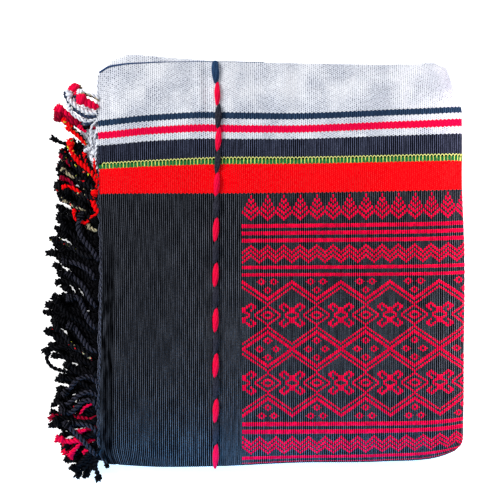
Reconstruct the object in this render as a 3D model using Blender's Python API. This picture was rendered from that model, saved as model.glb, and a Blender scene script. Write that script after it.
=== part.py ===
"""A folded handwoven blanket with a twisted fringe, in metres, +Z up.

The cloth is one sheet. It is first folded back and forth across its width, in three layers, and the
strip that this gives is then folded in half and in half again, so that four packets lie on each other.
Both fringed ends come out at the left (-X), one above the other, and the last fold is at the right (+X).
Every piece is first made flat, in the cloth's own coordinates: u along the warp, v across it and w
through its thickness. fold() then carries those coordinates to the place where the cloth lies.
"""

import math
import random

import bmesh
import bpy
import numpy as np
from mathutils import Vector

# Driving dimensions of the folded stack and of the cloth.
STACK_WIDTH = 0.3808
FRONT_EDGE_Y = -0.2119
FACE_SELVAGE_Y = 0.2094
CLOTH_THICKNESS = 0.0022
LAYER_GAP = 0.0008
PACKET_GAP = 0.0012
LAST_FOLD_REACH = 0.026
UNDER_SELVAGE_INSET = 0.009
LOWER_END_INSET = 0.003
LEFT_FOLD_INSET = 0.002

# The fringe: a twined edge on each layer of both ends, and the strands that leave it.
SEAM_GAP = 0.0003
EDGE_WIDTH = 0.003
EDGE_INSET = 0.003
STRAND_WIDTH = 0.0028
STRAND_THICKNESS = 0.0017
STRAND_REACH = 0.054
STRAND_STEPS = 4

# The heavy twined yarn that crosses the face, red and black by turns.
YARN_FROM_END = 0.1225
YARN_STITCH = 0.0236
YARN_WIDTH = 0.0066
YARN_WAIST = 0.0026
YARN_HEIGHT = 0.0026
YARN_CLEARANCE = 0.0004
YARN_SIDES = 8

LAYER_PITCH = CLOTH_THICKNESS + LAYER_GAP
PACKET_HEIGHT = 2 * LAYER_PITCH + CLOTH_THICKNESS
PACKET_PITCH = PACKET_HEIGHT + PACKET_GAP
STACK_HEIGHT = 3 * PACKET_PITCH + PACKET_HEIGHT
HALF_WIDTH = STACK_WIDTH / 2
SAMPLE_STEP = 0.00025

# Where the outline and the weave's lines of the real one lie off a plain rectangle, in millimetres.
# Columns: x of the place. Rows: y of the place, then the shift there.
SHIFT_AT_X = (-190, -181, -138, -68, 20, 102, 165, 191)
SHIFT_Y = (
    (209, (-11.0, -5.5, -1.7, 0.0, -2.0, -3.3, -3.2, -6.0)),
    (158, (-9.2, -8.3, -4.7, 0.0, -1.0, 1.5, 4.2, 5.7)),
    (104, (-5.0, -4.6, -2.6, 0.0, 0.5, 2.0, 3.5, 4.0)),
    (73, (-0.5, -0.3, 0.0, 0.0, 0.7, 2.0, 3.5, 4.5)),
    (-4, (0.0, 0.0, 0.0, 0.0, 0.5, 1.0, 2.0, 3.0)),
    (-90, (0.0, 0.0, 0.0, 0.0, 0.0, 0.5, 1.0, 1.0)),
    (-166, (0.0, 0.0, 0.0, 0.0, 0.5, 1.0, 2.5, 5.0)),
    (-200, (0.5, 0.3, 0.0, 0.0, 1.5, 3.0, 6.5, 10.5)),
    (-211, (2.5, 2.0, 0.0, 0.5, 4.5, 5.5, 10.0, 17.0)),
)
SHIFT_X = (
    (209, (1.0, 0.5, 0.0, 0.0, 0.0, -1.0, -8.0, -21.0)),
    (158, (0.0, 0.0, 0.0, 0.0, 0.0, 0.0, -0.5, -3.5)),
    (73, (2.0, 1.8, 1.0, 0.0, 0.0, 0.0, 0.0, -1.5)),
    (13, (4.0, 3.7, 2.0, 0.0, 0.0, 0.0, 0.0, 0.8)),
    (-90, (3.0, 2.7, 1.5, 0.0, 0.0, 0.0, 0.0, 0.3)),
    (-166, (2.0, 1.8, 1.0, 0.0, 0.0, 0.0, 0.0, -0.5)),
    (-200, (4.0, 3.5, 1.5, 0.0, 0.0, 0.0, -1.0, -5.0)),
    (-211, (8.5, 7.0, 2.5, 0.0, 0.0, 0.0, -3.0, -11.0)),
)
# How far the layers under the face show past it at the back edge, in millimetres: x, then the distance.
LOWER_PEEK = (
    (-190, 0.0),
    (-182, 3.0),
    (-172, 9.0),
    (-160, 9.2),
    (-140, 7.6),
    (-112, 5.0),
    (-85, 2.0),
    (-60, 0.0),
    (130, 0.0),
    (152, 2.6),
    (166, 2.6),
    (180, 0.0),
)
# How much narrower the packets lie than the top one, from the upper fringed end: share of the strip's
# length, then share of the width.
NARROWING = ((0.0, 0.0), (0.25, 0.0), (0.38, 0.010), (0.62, 0.017), (0.75, 0.015), (1.0, 0.008))

# The fringe's layers from the top: name, packet, layer, spacing, drift sideways and height of the tips.
FRINGES = (
    ("fringe_upper_face", "upper", "face", 0.0120, 0.026, 0.0066),
    ("fringe_upper_middle", "upper", "middle", 0.0150, 0.022, 0.0038),
    ("fringe_upper_under", "upper", "under", 0.0232, 0.014, 0.0011),
    ("fringe_lower_under", "lower", "under", 0.0232, 0.014, 0.0011),
    ("fringe_lower_middle", "lower", "middle", 0.0232, 0.014, 0.0011),
    ("fringe_lower_face", "lower", "face", 0.0232, 0.014, 0.0011),
)
SHARED_LANES = 4
# How the strands lie along the edge: y of the root, share of the layer's drift, share of the full reach.
STRAND_LIE = (
    (-0.212, -1.20, 0.40),
    (-0.200, -0.85, 0.55),
    (-0.185, -0.50, 0.88),
    (-0.160, -0.30, 1.00),
    (-0.100, 0.10, 1.00),
    (0.000, 0.75, 1.00),
    (0.070, 1.00, 1.00),
    (0.140, 0.95, 1.00),
    (0.168, 0.60, 0.78),
    (0.192, 0.25, 0.40),
)

BLACK_COTTON = (0.012, 0.012, 0.016)
RED_COTTON = (0.72, 0.004, 0.03)


def curve_through(at, places, values):
    """A smooth curve through the given values, read at the given places."""
    order = np.argsort(places)
    places = np.asarray(places, float)[order]
    values = np.asarray(values, float)[order]
    slopes = np.gradient(values, places)
    at = np.clip(at, places[0], places[-1])
    i = np.clip(np.searchsorted(places, at, side="right") - 1, 0, len(places) - 2)
    width = places[i + 1] - places[i]
    s = (at - places[i]) / width
    start = values[i] * (1 + 2 * s) * (1 - s) ** 2 + slopes[i] * width * s * (1 - s) ** 2
    end = values[i + 1] * (3 - 2 * s) * s**2 + slopes[i + 1] * width * (s - 1) * s**2
    return start + end


def table_shift(x, y, table):
    """The shift in metres at each (x, y), from a table of rows in millimetres."""
    rows = np.array([curve_through(x * 1000, SHIFT_AT_X, row) for _, row in table])
    heights = [height for height, _ in table]
    columns = [curve_through(y[i] * 1000, heights, rows[:, i]) for i in range(len(x))]
    return np.array(columns) / 1000


class Run:
    """A line drawn in a plane as straight runs and half turns, read by its length."""

    def __init__(self, start):
        self.stretches = [np.array([start])]
        self.turns = []

    def line_to(self, end):
        begin = self.stretches[-1][-1]
        count = max(2, int(np.hypot(*(np.array(end) - begin)) / SAMPLE_STEP))
        share = np.linspace(0, 1, count + 1)[1:, None]
        self.stretches.append(begin + share * (np.array(end) - begin))
        return self

    def turn_to(self, height, reach):
        """A half ellipse to another height. A positive reach bulges towards +, a negative one to -."""
        begin = self.stretches[-1][-1]
        middle = (begin[1] + height) / 2
        count = max(16, int(math.pi * abs(reach) / SAMPLE_STEP))
        angle = np.linspace(0, math.pi, count + 1)[1:]
        across = begin[0] + reach * np.sin(angle)
        up = middle + (begin[1] - middle) * np.cos(angle)
        first = sum(len(stretch) for stretch in self.stretches) - 1
        self.turns.append((first, first + count))
        self.stretches.append(np.stack([across, up], axis=1))
        return self

    def finish(self):
        self.points = np.concatenate(self.stretches)
        steps = np.diff(self.points, axis=0)
        self.length = np.concatenate([[0], np.cumsum(np.hypot(steps[:, 0], steps[:, 1]))])
        heading = np.unwrap(np.arctan2(steps[:, 1], steps[:, 0]))
        self.heading = np.concatenate([heading[:1], (heading[1:] + heading[:-1]) / 2, heading[-1:]])
        self.turn_spans = [(self.length[first], self.length[last]) for first, last in self.turns]
        return self

    def at(self, length):
        """(across, up, heading) at each length."""
        across = np.interp(length, self.length, self.points[:, 0])
        up = np.interp(length, self.length, self.points[:, 1])
        return across, up, np.interp(length, self.length, self.heading)

    def crossings(self, across):
        """The lengths at which the line passes a place across."""
        before = np.flatnonzero(np.diff(np.sign(self.points[:, 0] - across)))
        return [float(length) for length in self.length[before]]


def packet_height(number):
    """The height of a packet's middle, counted from the lowest."""
    return (number - 1) * PACKET_PITCH + PACKET_HEIGHT / 2


# The strip's line in the plane of x and z, from the upper fringed end to the lower one.
MARGIN = 0.006
UPPER_END_X = -HALF_WIDTH
LOWER_END_X = UPPER_END_X + LOWER_END_INSET
LAST_TURN_X = HALF_WIDTH - LAST_FOLD_REACH - PACKET_HEIGHT / 2
INNER_TURN_X = LAST_TURN_X + LAST_FOLD_REACH * 0.31
LEFT_TURN_X = LOWER_END_X + LEFT_FOLD_INSET + PACKET_PITCH / 2 + PACKET_HEIGHT / 2
STRIP = (
    Run((UPPER_END_X - MARGIN, packet_height(4)))
    .line_to((LAST_TURN_X, packet_height(4)))
    .turn_to(packet_height(1), LAST_FOLD_REACH)
    .line_to((LEFT_TURN_X, packet_height(1)))
    .turn_to(packet_height(2), -PACKET_PITCH / 2)
    .line_to((INNER_TURN_X, packet_height(2)))
    .turn_to(packet_height(3), PACKET_PITCH / 2)
    .line_to((LOWER_END_X - MARGIN, packet_height(3)))
    .finish()
)
STRIP_LENGTH = STRIP.length[-1] - 2 * MARGIN

# A packet's line in the plane of y and height above its middle, from the face's selvage at the back
# over the front fold and the back fold to the other selvage.
HALF_PITCH = LAYER_PITCH / 2
FRONT_FOLD_Y = FRONT_EDGE_Y + HALF_PITCH + CLOTH_THICKNESS / 2
BACK_FOLD_Y = FACE_SELVAGE_Y - 0.001 - HALF_PITCH - CLOTH_THICKNESS / 2
PACKET = (
    Run((FACE_SELVAGE_Y, LAYER_PITCH))
    .line_to((FRONT_FOLD_Y, LAYER_PITCH))
    .turn_to(0.0, -HALF_PITCH)
    .line_to((BACK_FOLD_Y, 0.0))
    .turn_to(-LAYER_PITCH, HALF_PITCH)
    .line_to((FRONT_FOLD_Y + UNDER_SELVAGE_INSET, -LAYER_PITCH))
    .finish()
)
CLOTH_WIDTH = PACKET.length[-1]
(FACE_END, MIDDLE_START), (MIDDLE_END, UNDER_START) = PACKET.turn_spans


def soften(u, v, x, y, z):
    """The unevenness of the real stack, laid over the plain folded shape."""
    share = u / STRIP_LENGTH
    y = y * (1 - curve_through(share, *zip(*NARROWING)))
    peek = curve_through(x * 1000, *zip(*LOWER_PEEK)) / 1000
    under_face = (v > FACE_END) | (share > 0.25)
    back_half = np.clip(y / 0.15, 0, 1) ** 2
    y = y + np.where(under_face, peek * back_half, 0.0)
    moved_x = x + table_shift(x, y, SHIFT_X)
    moved_y = y + table_shift(x, y, SHIFT_Y)
    from_edge = np.minimum(FACE_SELVAGE_Y - y, y - FRONT_EDGE_Y)
    edge = np.exp(-((np.maximum(from_edge, 0) / 0.024) ** 2))
    end = np.exp(-((np.maximum(x + HALF_WIDTH, 0) / 0.018) ** 2))
    swell = np.sin(x / 0.049 + 1.2) * np.cos(y / 0.043 + 0.4) + 0.6 * np.sin(x / 0.027 - y / 0.037)
    height = 1 - 0.14 * edge - 0.10 * end + 0.018 * swell * (1 - edge)
    return moved_x, moved_y, z * height


def fold(u, v, w):
    """Carries points of the flat cloth to where they lie. u starts at the upper fringed end."""
    y, above, heading = PACKET.at(v)
    y = y + w * np.sin(heading)
    above = above - w * np.cos(heading)
    x, z, heading = STRIP.at(u + MARGIN)
    x = x - above * np.sin(heading)
    z = z + above * np.cos(heading)
    return np.stack(soften(u, v, x, y, z), axis=1)


def fold_between_rows(u, v, w):
    """fold(), but straight between the rows of the cloth's grid, as its edge is."""
    rows = np.array(weft_stations())
    i = np.clip(np.searchsorted(rows, v, side="right") - 1, 0, len(rows) - 2)
    share = ((v - rows[i]) / (rows[i + 1] - rows[i]))[:, None]
    return fold(u, rows[i], w) * (1 - share) + fold(u, rows[i + 1], w) * share


def flat_slab(us, vs, thickness):
    """A flat piece of cloth as a grid with those stations, grown to its thickness."""
    mesh = bmesh.new()
    bmesh.ops.create_grid(mesh, x_segments=len(us) - 1, y_segments=len(vs) - 1, size=0.5)
    for vertex in mesh.verts:
        i = round((vertex.co.x + 0.5) * (len(us) - 1))
        j = round((vertex.co.y + 0.5) * (len(vs) - 1))
        vertex.co = (us[i], vs[j], -thickness / 2)
    grown = bmesh.ops.extrude_face_region(mesh, geom=mesh.faces[:])
    raised = [item for item in grown["geom"] if isinstance(item, bmesh.types.BMVert)]
    bmesh.ops.translate(mesh, verts=raised, vec=(0, 0, thickness))
    return mesh


def fold_mesh(mesh, folding=fold):
    """Moves a flat piece to its folded place. Folding mirrors it, so its faces are turned about."""
    bmesh.ops.recalc_face_normals(mesh, faces=mesh.faces[:])
    flat = np.array([vertex.co for vertex in mesh.verts], float)
    for vertex, place in zip(mesh.verts, folding(*flat.T)):
        vertex.co = place
    bmesh.ops.reverse_faces(mesh, faces=mesh.faces[:])


def cotton(name, colour):
    material = bpy.data.materials.new(name)
    material.use_nodes = True
    shader = material.node_tree.nodes["Principled BSDF"]
    shader.inputs["Base Color"].default_value = (*colour, 1)
    shader.inputs["Roughness"].default_value = 0.85
    shader.inputs["Metallic"].default_value = 0.0
    return material


def add_object(name, mesh, material, collection):
    data = bpy.data.meshes.new(name)
    mesh.to_mesh(data)
    mesh.free()
    data.materials.append(material)
    made = bpy.data.objects.new(name, data)
    collection.objects.link(made)
    return made


def spread(start, end, step):
    """Stations from start to end, both included, about a step apart."""
    count = max(1, round(abs(end - start) / step))
    return [start + (end - start) * i / count for i in range(count + 1)]


def warp_stations():
    """Where the cloth's grid has its columns: at the same x in every packet, finer in the folds."""
    x_places = (-0.174, -0.150, -0.110, -0.068, -0.005, 0.060, 0.120)
    stations = [MARGIN, MARGIN + STRIP_LENGTH]
    for place in x_places:
        stations += STRIP.crossings(place)
    for (start, end), steps in zip(STRIP.turn_spans, (10, 5, 5)):
        stations += spread(start, end, (end - start) / steps)
    return sorted(length - MARGIN for length in stations)


def weft_stations():
    """Where the cloth's grid has its rows: at the same y in every layer, finer in the folds."""
    y_places = (0.197, 0.176, 0.130, 0.073, 0.0, -0.090, -0.150, -0.182, -0.200)
    stations = [0.0, CLOTH_WIDTH]
    for place in y_places:
        stations += PACKET.crossings(place)
    for start, end in PACKET.turn_spans:
        stations += spread(start, end, (end - start) / 4)
    return sorted(stations)


def make_cloth(material, collection):
    mesh = flat_slab(warp_stations(), weft_stations(), CLOTH_THICKNESS)
    fold_mesh(mesh)
    return add_object("blanket_cloth", mesh, material, collection)


def make_twined_yarn(material, collection):
    """The yarn across the face: a tube with a swelling for each stitch, over the edge at both ends."""
    start = -YARN_STITCH * 0.06
    end = (FACE_END + MIDDLE_START) / 2
    stitches = round((end - start) / YARN_STITCH)
    before_fold = [v for v in spread(start, end, YARN_STITCH / 3) if v < FACE_END - 0.002]
    stations = before_fold + spread(FACE_END, end, (end - FACE_END) / 3)
    mesh = bmesh.new()
    bmesh.ops.create_cone(mesh, cap_ends=True, segments=YARN_SIDES, radius1=1, radius2=1, depth=1)
    sides = [edge for edge in mesh.edges if abs(edge.verts[0].co.z - edge.verts[1].co.z) > 0.5]
    bmesh.ops.subdivide_edges(mesh, edges=sides, cuts=len(stations) - 2, use_grid_fill=True)
    for vertex in mesh.verts:
        v = stations[round((vertex.co.z + 0.5) * (len(stations) - 1))]
        bulge = abs(math.sin(math.pi * stitches * (v - start) / (end - start)))
        width = YARN_WAIST + (YARN_WIDTH - YARN_WAIST) * bulge
        height = YARN_HEIGHT * (0.55 + 0.45 * bulge)
        u = YARN_FROM_END + vertex.co.x * width / 2
        w = CLOTH_THICKNESS / 2 + YARN_CLEARANCE + (1 + vertex.co.y) * height / 2
        vertex.co = (u, v, w)
    fold_mesh(mesh)
    return add_object("twined_yarn", mesh, material, collection)


def layer_spans():
    """For each layer: the v where its flat stretch starts and ends, its y at the start, and the way it runs."""
    return {
        "face": (0.0, FACE_END, FACE_SELVAGE_Y, -1),
        "middle": (MIDDLE_START, MIDDLE_END, FRONT_FOLD_Y, 1),
        "under": (UNDER_START, CLOTH_WIDTH, BACK_FOLD_Y, -1),
    }


def strand_lie(y):
    """The shares of drift and reach of the strand whose root is at y."""
    places, drifts, reaches = zip(*STRAND_LIE)
    return float(curve_through(y, places, drifts)), float(np.interp(y, places, reaches))


def middle_y(face):
    return face.calc_center_median().y


def corner_signs(face):
    """Which side of a strand each corner of its root face is on: along +Y or not, above or below."""
    middle = face.calc_center_median()
    by_side = sorted(face.verts, key=lambda vertex: vertex.co.y)
    signs = {}
    for side, pair in ((-1, by_side[:2]), (1, by_side[2:])):
        lower, upper = sorted(pair, key=lambda vertex: vertex.co.z)
        signs[tuple(lower.co - middle)] = (side, -1)
        signs[tuple(upper.co - middle)] = (side, 1)
    return [signs[tuple(vertex.co - middle)] for vertex in face.verts]


def grow_strand(mesh, face, drift, reach, tip_height):
    """Extrudes one face of the twined edge into a strand that falls outwards and ends level."""
    root = face.calc_center_median()
    drop = root.z - tip_height
    for step in range(1, STRAND_STEPS + 1):
        face = bmesh.ops.extrude_discrete_faces(mesh, faces=[face])["faces"][0]
        signs = corner_signs(face)
        share = step / STRAND_STEPS
        out = reach * share
        turn = math.pi * out / STRAND_REACH
        slope = drop * math.sin(turn) * math.pi / 2 / STRAND_REACH
        upwards = Vector((-slope, 0, 1)).normalized()
        sideways = drift * (out / STRAND_REACH) ** 1.4
        middle = root + Vector((-out, sideways, -drop * (1 - math.cos(turn)) / 2))
        taper = 0.5 * (1 - 0.25 * share)
        for vertex, (side, level) in zip(face.verts, signs):
            along_edge = Vector((0, side * STRAND_WIDTH * taper, 0))
            vertex.co = middle + along_edge + upwards * (level * STRAND_THICKNESS * taper)


def strand_places(number, spacing):
    """The y of each strand's root. The lowest layers share the floor, each in its own lanes."""
    shared = number >= len(FRINGES) - SHARED_LANES
    lane = (number + SHARED_LANES - len(FRINGES)) / SHARED_LANES if shared else 0.3
    count = int((FACE_SELVAGE_Y - FRONT_EDGE_Y - 0.012) / spacing) + 1
    return [FACE_SELVAGE_Y - 0.010 - spacing * (lane + i) for i in range(count)]


def edge_stations(low, high, middles):
    """Where the twined edge has its sections: at both sides of each strand and at the cloth's rows."""
    half = STRAND_WIDTH / 2
    rows = [row for row in weft_stations() if low + 0.001 < row < high - 0.001]
    free = [row for row in rows if all(abs(row - middle) > half + 0.0005 for middle in middles)]
    sides = [middle + side for middle in middles for side in (-half, half)]
    return sorted([low, *sides, *free, high])


def make_fringe(number, row, material, collection):
    """One twined edge with its strands, on one layer of the upper or the lower fringed end."""
    name, packet, layer, spacing, drift, tip_height = row
    start, end, start_y, way = layer_spans()[layer]
    low, high = start + EDGE_INSET, end - EDGE_INSET
    middles = [start + (y - start_y) * way for y in strand_places(number, spacing)]
    middles = [v for v in middles if low + STRAND_WIDTH < v < high - STRAND_WIDTH]
    us = (-SEAM_GAP - EDGE_WIDTH, -SEAM_GAP)
    outer = us[0]
    if packet == "lower":
        us = (STRIP_LENGTH + SEAM_GAP, STRIP_LENGTH + SEAM_GAP + EDGE_WIDTH)
        outer = us[1]
    mesh = flat_slab(us, edge_stations(low, high, middles), CLOTH_THICKNESS)
    on_edge = [f for f in mesh.faces if all(abs(vertex.co.x - outer) < 1e-6 for vertex in f.verts)]
    roots = [f for f in on_edge if any(abs(middle_y(f) - middle) < 1e-6 for middle in middles)]
    fold_mesh(mesh, fold_between_rows)
    chance = random.Random(number)
    loose = 0.0004 if spacing > 0.02 else 0.0024
    for face in sorted(roots, key=middle_y):
        drift_share, reach_share = strand_lie(middle_y(face))
        sideways = drift * drift_share + chance.uniform(-loose, loose)
        reach = STRAND_REACH * reach_share * chance.uniform(0.84, 0.99)
        grow_strand(mesh, face, sideways, reach, tip_height)
    return add_object(name, mesh, material, collection)


def seat_at_origin(objects):
    """Parents all pieces to an empty that brings the middle of their shared box to the origin."""
    corners = np.array([vertex.co for piece in objects for vertex in piece.data.vertices], float)
    low, high = corners.min(axis=0), corners.max(axis=0)
    base = bpy.data.objects.new("base", None)
    base.location = (-(low[0] + high[0]) / 2, -(low[1] + high[1]) / 2, -low[2])
    objects[0].users_collection[0].objects.link(base)
    for piece in objects:
        piece.parent = base


def main():
    for existing in list(bpy.data.objects):
        bpy.data.objects.remove(existing)
    collection = bpy.data.collections.new("handwoven_blanket")
    bpy.context.scene.collection.children.link(collection)
    black = cotton("black_cotton", BLACK_COTTON)
    red = cotton("red_cotton", RED_COTTON)
    pieces = [make_cloth(black, collection), make_twined_yarn(red, collection)]
    for number, row in enumerate(FRINGES):
        pieces.append(make_fringe(number, row, black, collection))
    seat_at_origin(pieces)


main()
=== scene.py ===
# %% [markdown]
# A folded handwoven blanket
#
# The real blanket is one piece of heavy cotton cloth. Its warp makes the long stripes, thick weft picks
# make the ribs across them, and extra red weft floats over the ribs and draws the pattern. The warp ends
# are twisted into cords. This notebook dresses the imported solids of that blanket: every piece is drawn
# flat, in the cloth's own coordinates, and then folded to the place where the solid lies.

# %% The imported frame
import math
import random

import bpy
import numpy as np
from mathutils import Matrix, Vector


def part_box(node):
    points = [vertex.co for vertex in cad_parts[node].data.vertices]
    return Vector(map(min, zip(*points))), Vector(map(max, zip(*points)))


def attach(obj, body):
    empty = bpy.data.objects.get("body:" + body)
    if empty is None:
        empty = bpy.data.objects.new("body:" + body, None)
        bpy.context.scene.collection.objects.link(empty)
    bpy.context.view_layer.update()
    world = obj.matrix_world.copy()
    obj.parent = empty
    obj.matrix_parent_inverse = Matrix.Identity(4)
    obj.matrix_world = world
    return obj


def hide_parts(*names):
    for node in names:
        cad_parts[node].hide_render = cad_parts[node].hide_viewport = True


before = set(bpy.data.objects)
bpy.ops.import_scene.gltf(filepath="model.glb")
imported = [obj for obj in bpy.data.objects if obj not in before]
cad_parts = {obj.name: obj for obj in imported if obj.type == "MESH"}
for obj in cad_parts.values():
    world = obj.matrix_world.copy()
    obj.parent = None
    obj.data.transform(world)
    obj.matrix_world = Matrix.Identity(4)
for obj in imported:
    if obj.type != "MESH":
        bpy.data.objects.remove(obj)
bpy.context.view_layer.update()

# %% [markdown]
# The cloth's sizes
#
# A folded cloth could be modelled where it lies, layer by layer, but then no stripe would meet itself in
# the next layer. It's easier to keep u along the warp, v across it and w through the thickness, and to
# have one function that folds any point. These are the sizes of the folded stack, in metres.

# %% Sizes of the stack and of the cloth
STACK_WIDTH = 0.3808
FRONT_EDGE_Y = -0.2119
FACE_SELVAGE_Y = 0.2094
CLOTH_THICKNESS = 0.0022
LAYER_GAP = 0.0008
PACKET_GAP = 0.0012
LAST_FOLD_REACH = 0.026
UNDER_SELVAGE_INSET = 0.009
LOWER_END_INSET = 0.003
LEFT_FOLD_INSET = 0.002
BACK_FOLD_INSET = 0.001
LAYER_PITCH = CLOTH_THICKNESS + LAYER_GAP
PACKET_HEIGHT = 2 * LAYER_PITCH + CLOTH_THICKNESS
PACKET_PITCH = PACKET_HEIGHT + PACKET_GAP
HALF_WIDTH = STACK_WIDTH / 2
MARGIN = 0.006
SAMPLE_STEP = 0.00025

# %% How far the outline lies off a plain rectangle, in millimetres
SHIFT_AT_X = (-190, -181, -168, -138, -68, 20, 102, 165, 191)
SHIFT_Y = (
    (209, (-11.0, -5.8, -3.1, -1.0, 0.0, -2.0, -3.3, -3.2, -6.0)),
    (158, (-9.2, -8.3, -7.2, -4.7, 0.0, -1.0, 1.5, 4.2, 5.7)),
    (104, (-5.0, -4.6, -4.0, -2.6, 0.0, 0.5, 2.0, 3.5, 4.0)),
    (73, (-0.5, -0.3, -0.2, 0.0, 0.0, 0.7, 2.0, 3.5, 4.5)),
    (-4, (0.0, 0.0, 0.0, 0.0, 0.0, 0.5, 1.0, 2.0, 3.0)),
    (-90, (0.0, 0.0, 0.0, 0.0, 0.0, 0.0, 0.5, 1.0, 1.0)),
    (-166, (0.0, 0.0, 0.0, 0.0, 0.0, 0.5, 1.0, 2.5, 5.0)),
    (-200, (0.5, 0.3, 0.2, 0.0, 0.0, 1.5, 3.0, 6.5, 10.5)),
    (-211, (2.5, 2.0, 1.4, 0.0, 0.5, 4.5, 5.5, 10.0, 17.0)),
)
SHIFT_X = (
    (209, (1.0, 0.5, 0.3, 0.0, 0.0, 0.0, -0.5, -5.0, -17.5)),
    (196, (0.7, 0.4, 0.2, 0.0, 0.0, 0.0, -0.5, -3.5, -14.0)),
    (178, (0.4, 0.2, 0.1, 0.0, 0.0, 0.0, 0.0, -2.0, -10.5)),
    (166, (0.2, 0.1, 0.0, 0.0, 0.0, 0.0, 0.0, -1.0, -7.0)),
    (158, (0.0, 0.0, 0.0, 0.0, 0.0, 0.0, 0.0, -0.5, -2.6)),
    (140, (0.2, 0.1, 0.1, 0.0, 0.0, 0.0, 0.0, -0.2, -1.8)),
    (73, (2.0, 1.8, 1.6, 1.0, 0.0, 0.0, 0.0, 0.0, -1.5)),
    (13, (4.0, 3.7, 3.2, 2.0, 0.0, 0.0, 0.0, 0.0, 0.8)),
    (-90, (3.0, 2.7, 2.3, 1.5, 0.0, 0.0, 0.0, 0.0, 0.3)),
    (-166, (2.0, 1.8, 1.6, 1.0, 0.0, 0.0, 0.0, 0.0, -0.5)),
    (-200, (4.0, 3.5, 2.9, 1.5, 0.0, 0.0, 0.0, -0.5, -2.4)),
    (-211, (8.5, 7.0, 5.6, 2.5, 0.0, 0.0, 0.0, -1.5, -6.5)),
)
LOWER_PEEK = (
    (-190, 0.0),
    (-183, 2.6),
    (-176, 7.2),
    (-168, 11.0),
    (-160, 11.0),
    (-148, 9.8),
    (-138, 8.6),
    (-120, 6.2),
    (-100, 4.2),
    (-85, 3.2),
    (-55, 0.0),
    (130, 0.0),
    (152, 2.6),
    (166, 2.6),
    (180, 0.0),
)
NARROWING = ((0.0, 0.0), (0.25, 0.0), (0.38, 0.010), (0.62, 0.017), (0.75, 0.015), (1.0, 0.008))

# %% [markdown]
# Folding
#
# A fold is a line drawn as straight runs and half turns, and read by its length. One line is seen from
# the side and folds the cloth's length into four packets. The other is seen from the end and folds its
# width into three layers. Blender's Simple Deform could bend one fold at a time, but not six in a row at
# their real radius, so the lines are sampled here and every point is carried along them.

# %% Curves and fold lines
def curve_through(at, places, values):
    """A smooth curve through values at places, read at each place. values may have a column for each."""
    order = np.argsort(places)
    places = np.asarray(places, float)[order]
    values = np.asarray(values, float)[order]
    slopes = np.gradient(values, places, axis=0)
    at = np.clip(at, places[0], places[-1])
    i = np.clip(np.searchsorted(places, at, side="right") - 1, 0, len(places) - 2)
    width = places[i + 1] - places[i]
    s = (at - places[i]) / width
    column = (np.arange(len(at)),) if values.ndim == 2 else ()
    begin, after = (i, *column), (i + 1, *column)
    start = values[begin] * (1 + 2 * s) * (1 - s) ** 2 + slopes[begin] * width * s * (1 - s) ** 2
    end = values[after] * (3 - 2 * s) * s**2 + slopes[after] * width * (s - 1) * s**2
    return start + end


def table_shift(x, y, table):
    """The shift in metres at each (x, y), from a table of rows in millimetres."""
    rows = np.array([curve_through(x * 1000, SHIFT_AT_X, row) for _, row in table])
    return curve_through(y * 1000, [height for height, _ in table], rows) / 1000


class Run:
    """A line drawn in a plane as straight runs and half turns, read by its length."""

    def __init__(self, start):
        self.stretches = [np.array([start])]
        self.turns = []

    def line_to(self, end):
        begin = self.stretches[-1][-1]
        count = max(2, int(np.hypot(*(np.array(end) - begin)) / SAMPLE_STEP))
        share = np.linspace(0, 1, count + 1)[1:, None]
        self.stretches.append(begin + share * (np.array(end) - begin))
        return self

    def turn_to(self, height, reach):
        """A half ellipse to another height. A positive reach bulges towards +, a negative one to -."""
        begin = self.stretches[-1][-1]
        middle = (begin[1] + height) / 2
        count = max(16, int(math.pi * abs(reach) / SAMPLE_STEP))
        angle = np.linspace(0, math.pi, count + 1)[1:]
        across = begin[0] + reach * np.sin(angle)
        up = middle + (begin[1] - middle) * np.cos(angle)
        first = sum(len(stretch) for stretch in self.stretches) - 1
        self.turns.append((first, first + count))
        self.stretches.append(np.stack([across, up], axis=1))
        return self

    def finish(self):
        self.points = np.concatenate(self.stretches)
        steps = np.diff(self.points, axis=0)
        self.length = np.concatenate([[0], np.cumsum(np.hypot(steps[:, 0], steps[:, 1]))])
        heading = np.unwrap(np.arctan2(steps[:, 1], steps[:, 0]))
        self.heading = np.concatenate([heading[:1], (heading[1:] + heading[:-1]) / 2, heading[-1:]])
        self.turn_spans = [(self.length[first], self.length[last]) for first, last in self.turns]
        return self

    def at(self, length):
        """(across, up, heading) at each length."""
        across = np.interp(length, self.length, self.points[:, 0])
        up = np.interp(length, self.length, self.points[:, 1])
        return across, up, np.interp(length, self.length, self.heading)


def packet_height(number):
    """The height of a packet's middle, counted from the lowest."""
    return (number - 1) * PACKET_PITCH + PACKET_HEIGHT / 2


# %% The two fold lines
UPPER_END_X = -HALF_WIDTH
LOWER_END_X = UPPER_END_X + LOWER_END_INSET
LAST_TURN_X = HALF_WIDTH - LAST_FOLD_REACH - PACKET_HEIGHT / 2
INNER_FOLD_SHARE = 0.31
INNER_TURN_X = LAST_TURN_X + LAST_FOLD_REACH * INNER_FOLD_SHARE
LEFT_TURN_X = LOWER_END_X + LEFT_FOLD_INSET + PACKET_PITCH / 2 + PACKET_HEIGHT / 2
STRIP = (
    Run((UPPER_END_X - MARGIN, packet_height(4)))
    .line_to((LAST_TURN_X, packet_height(4)))
    .turn_to(packet_height(1), LAST_FOLD_REACH)
    .line_to((LEFT_TURN_X, packet_height(1)))
    .turn_to(packet_height(2), -PACKET_PITCH / 2)
    .line_to((INNER_TURN_X, packet_height(2)))
    .turn_to(packet_height(3), PACKET_PITCH / 2)
    .line_to((LOWER_END_X - MARGIN, packet_height(3)))
    .finish()
)
CLOTH_LENGTH = STRIP.length[-1] - 2 * MARGIN
HALF_PITCH = LAYER_PITCH / 2
FRONT_FOLD_Y = FRONT_EDGE_Y + HALF_PITCH + CLOTH_THICKNESS / 2
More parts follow.
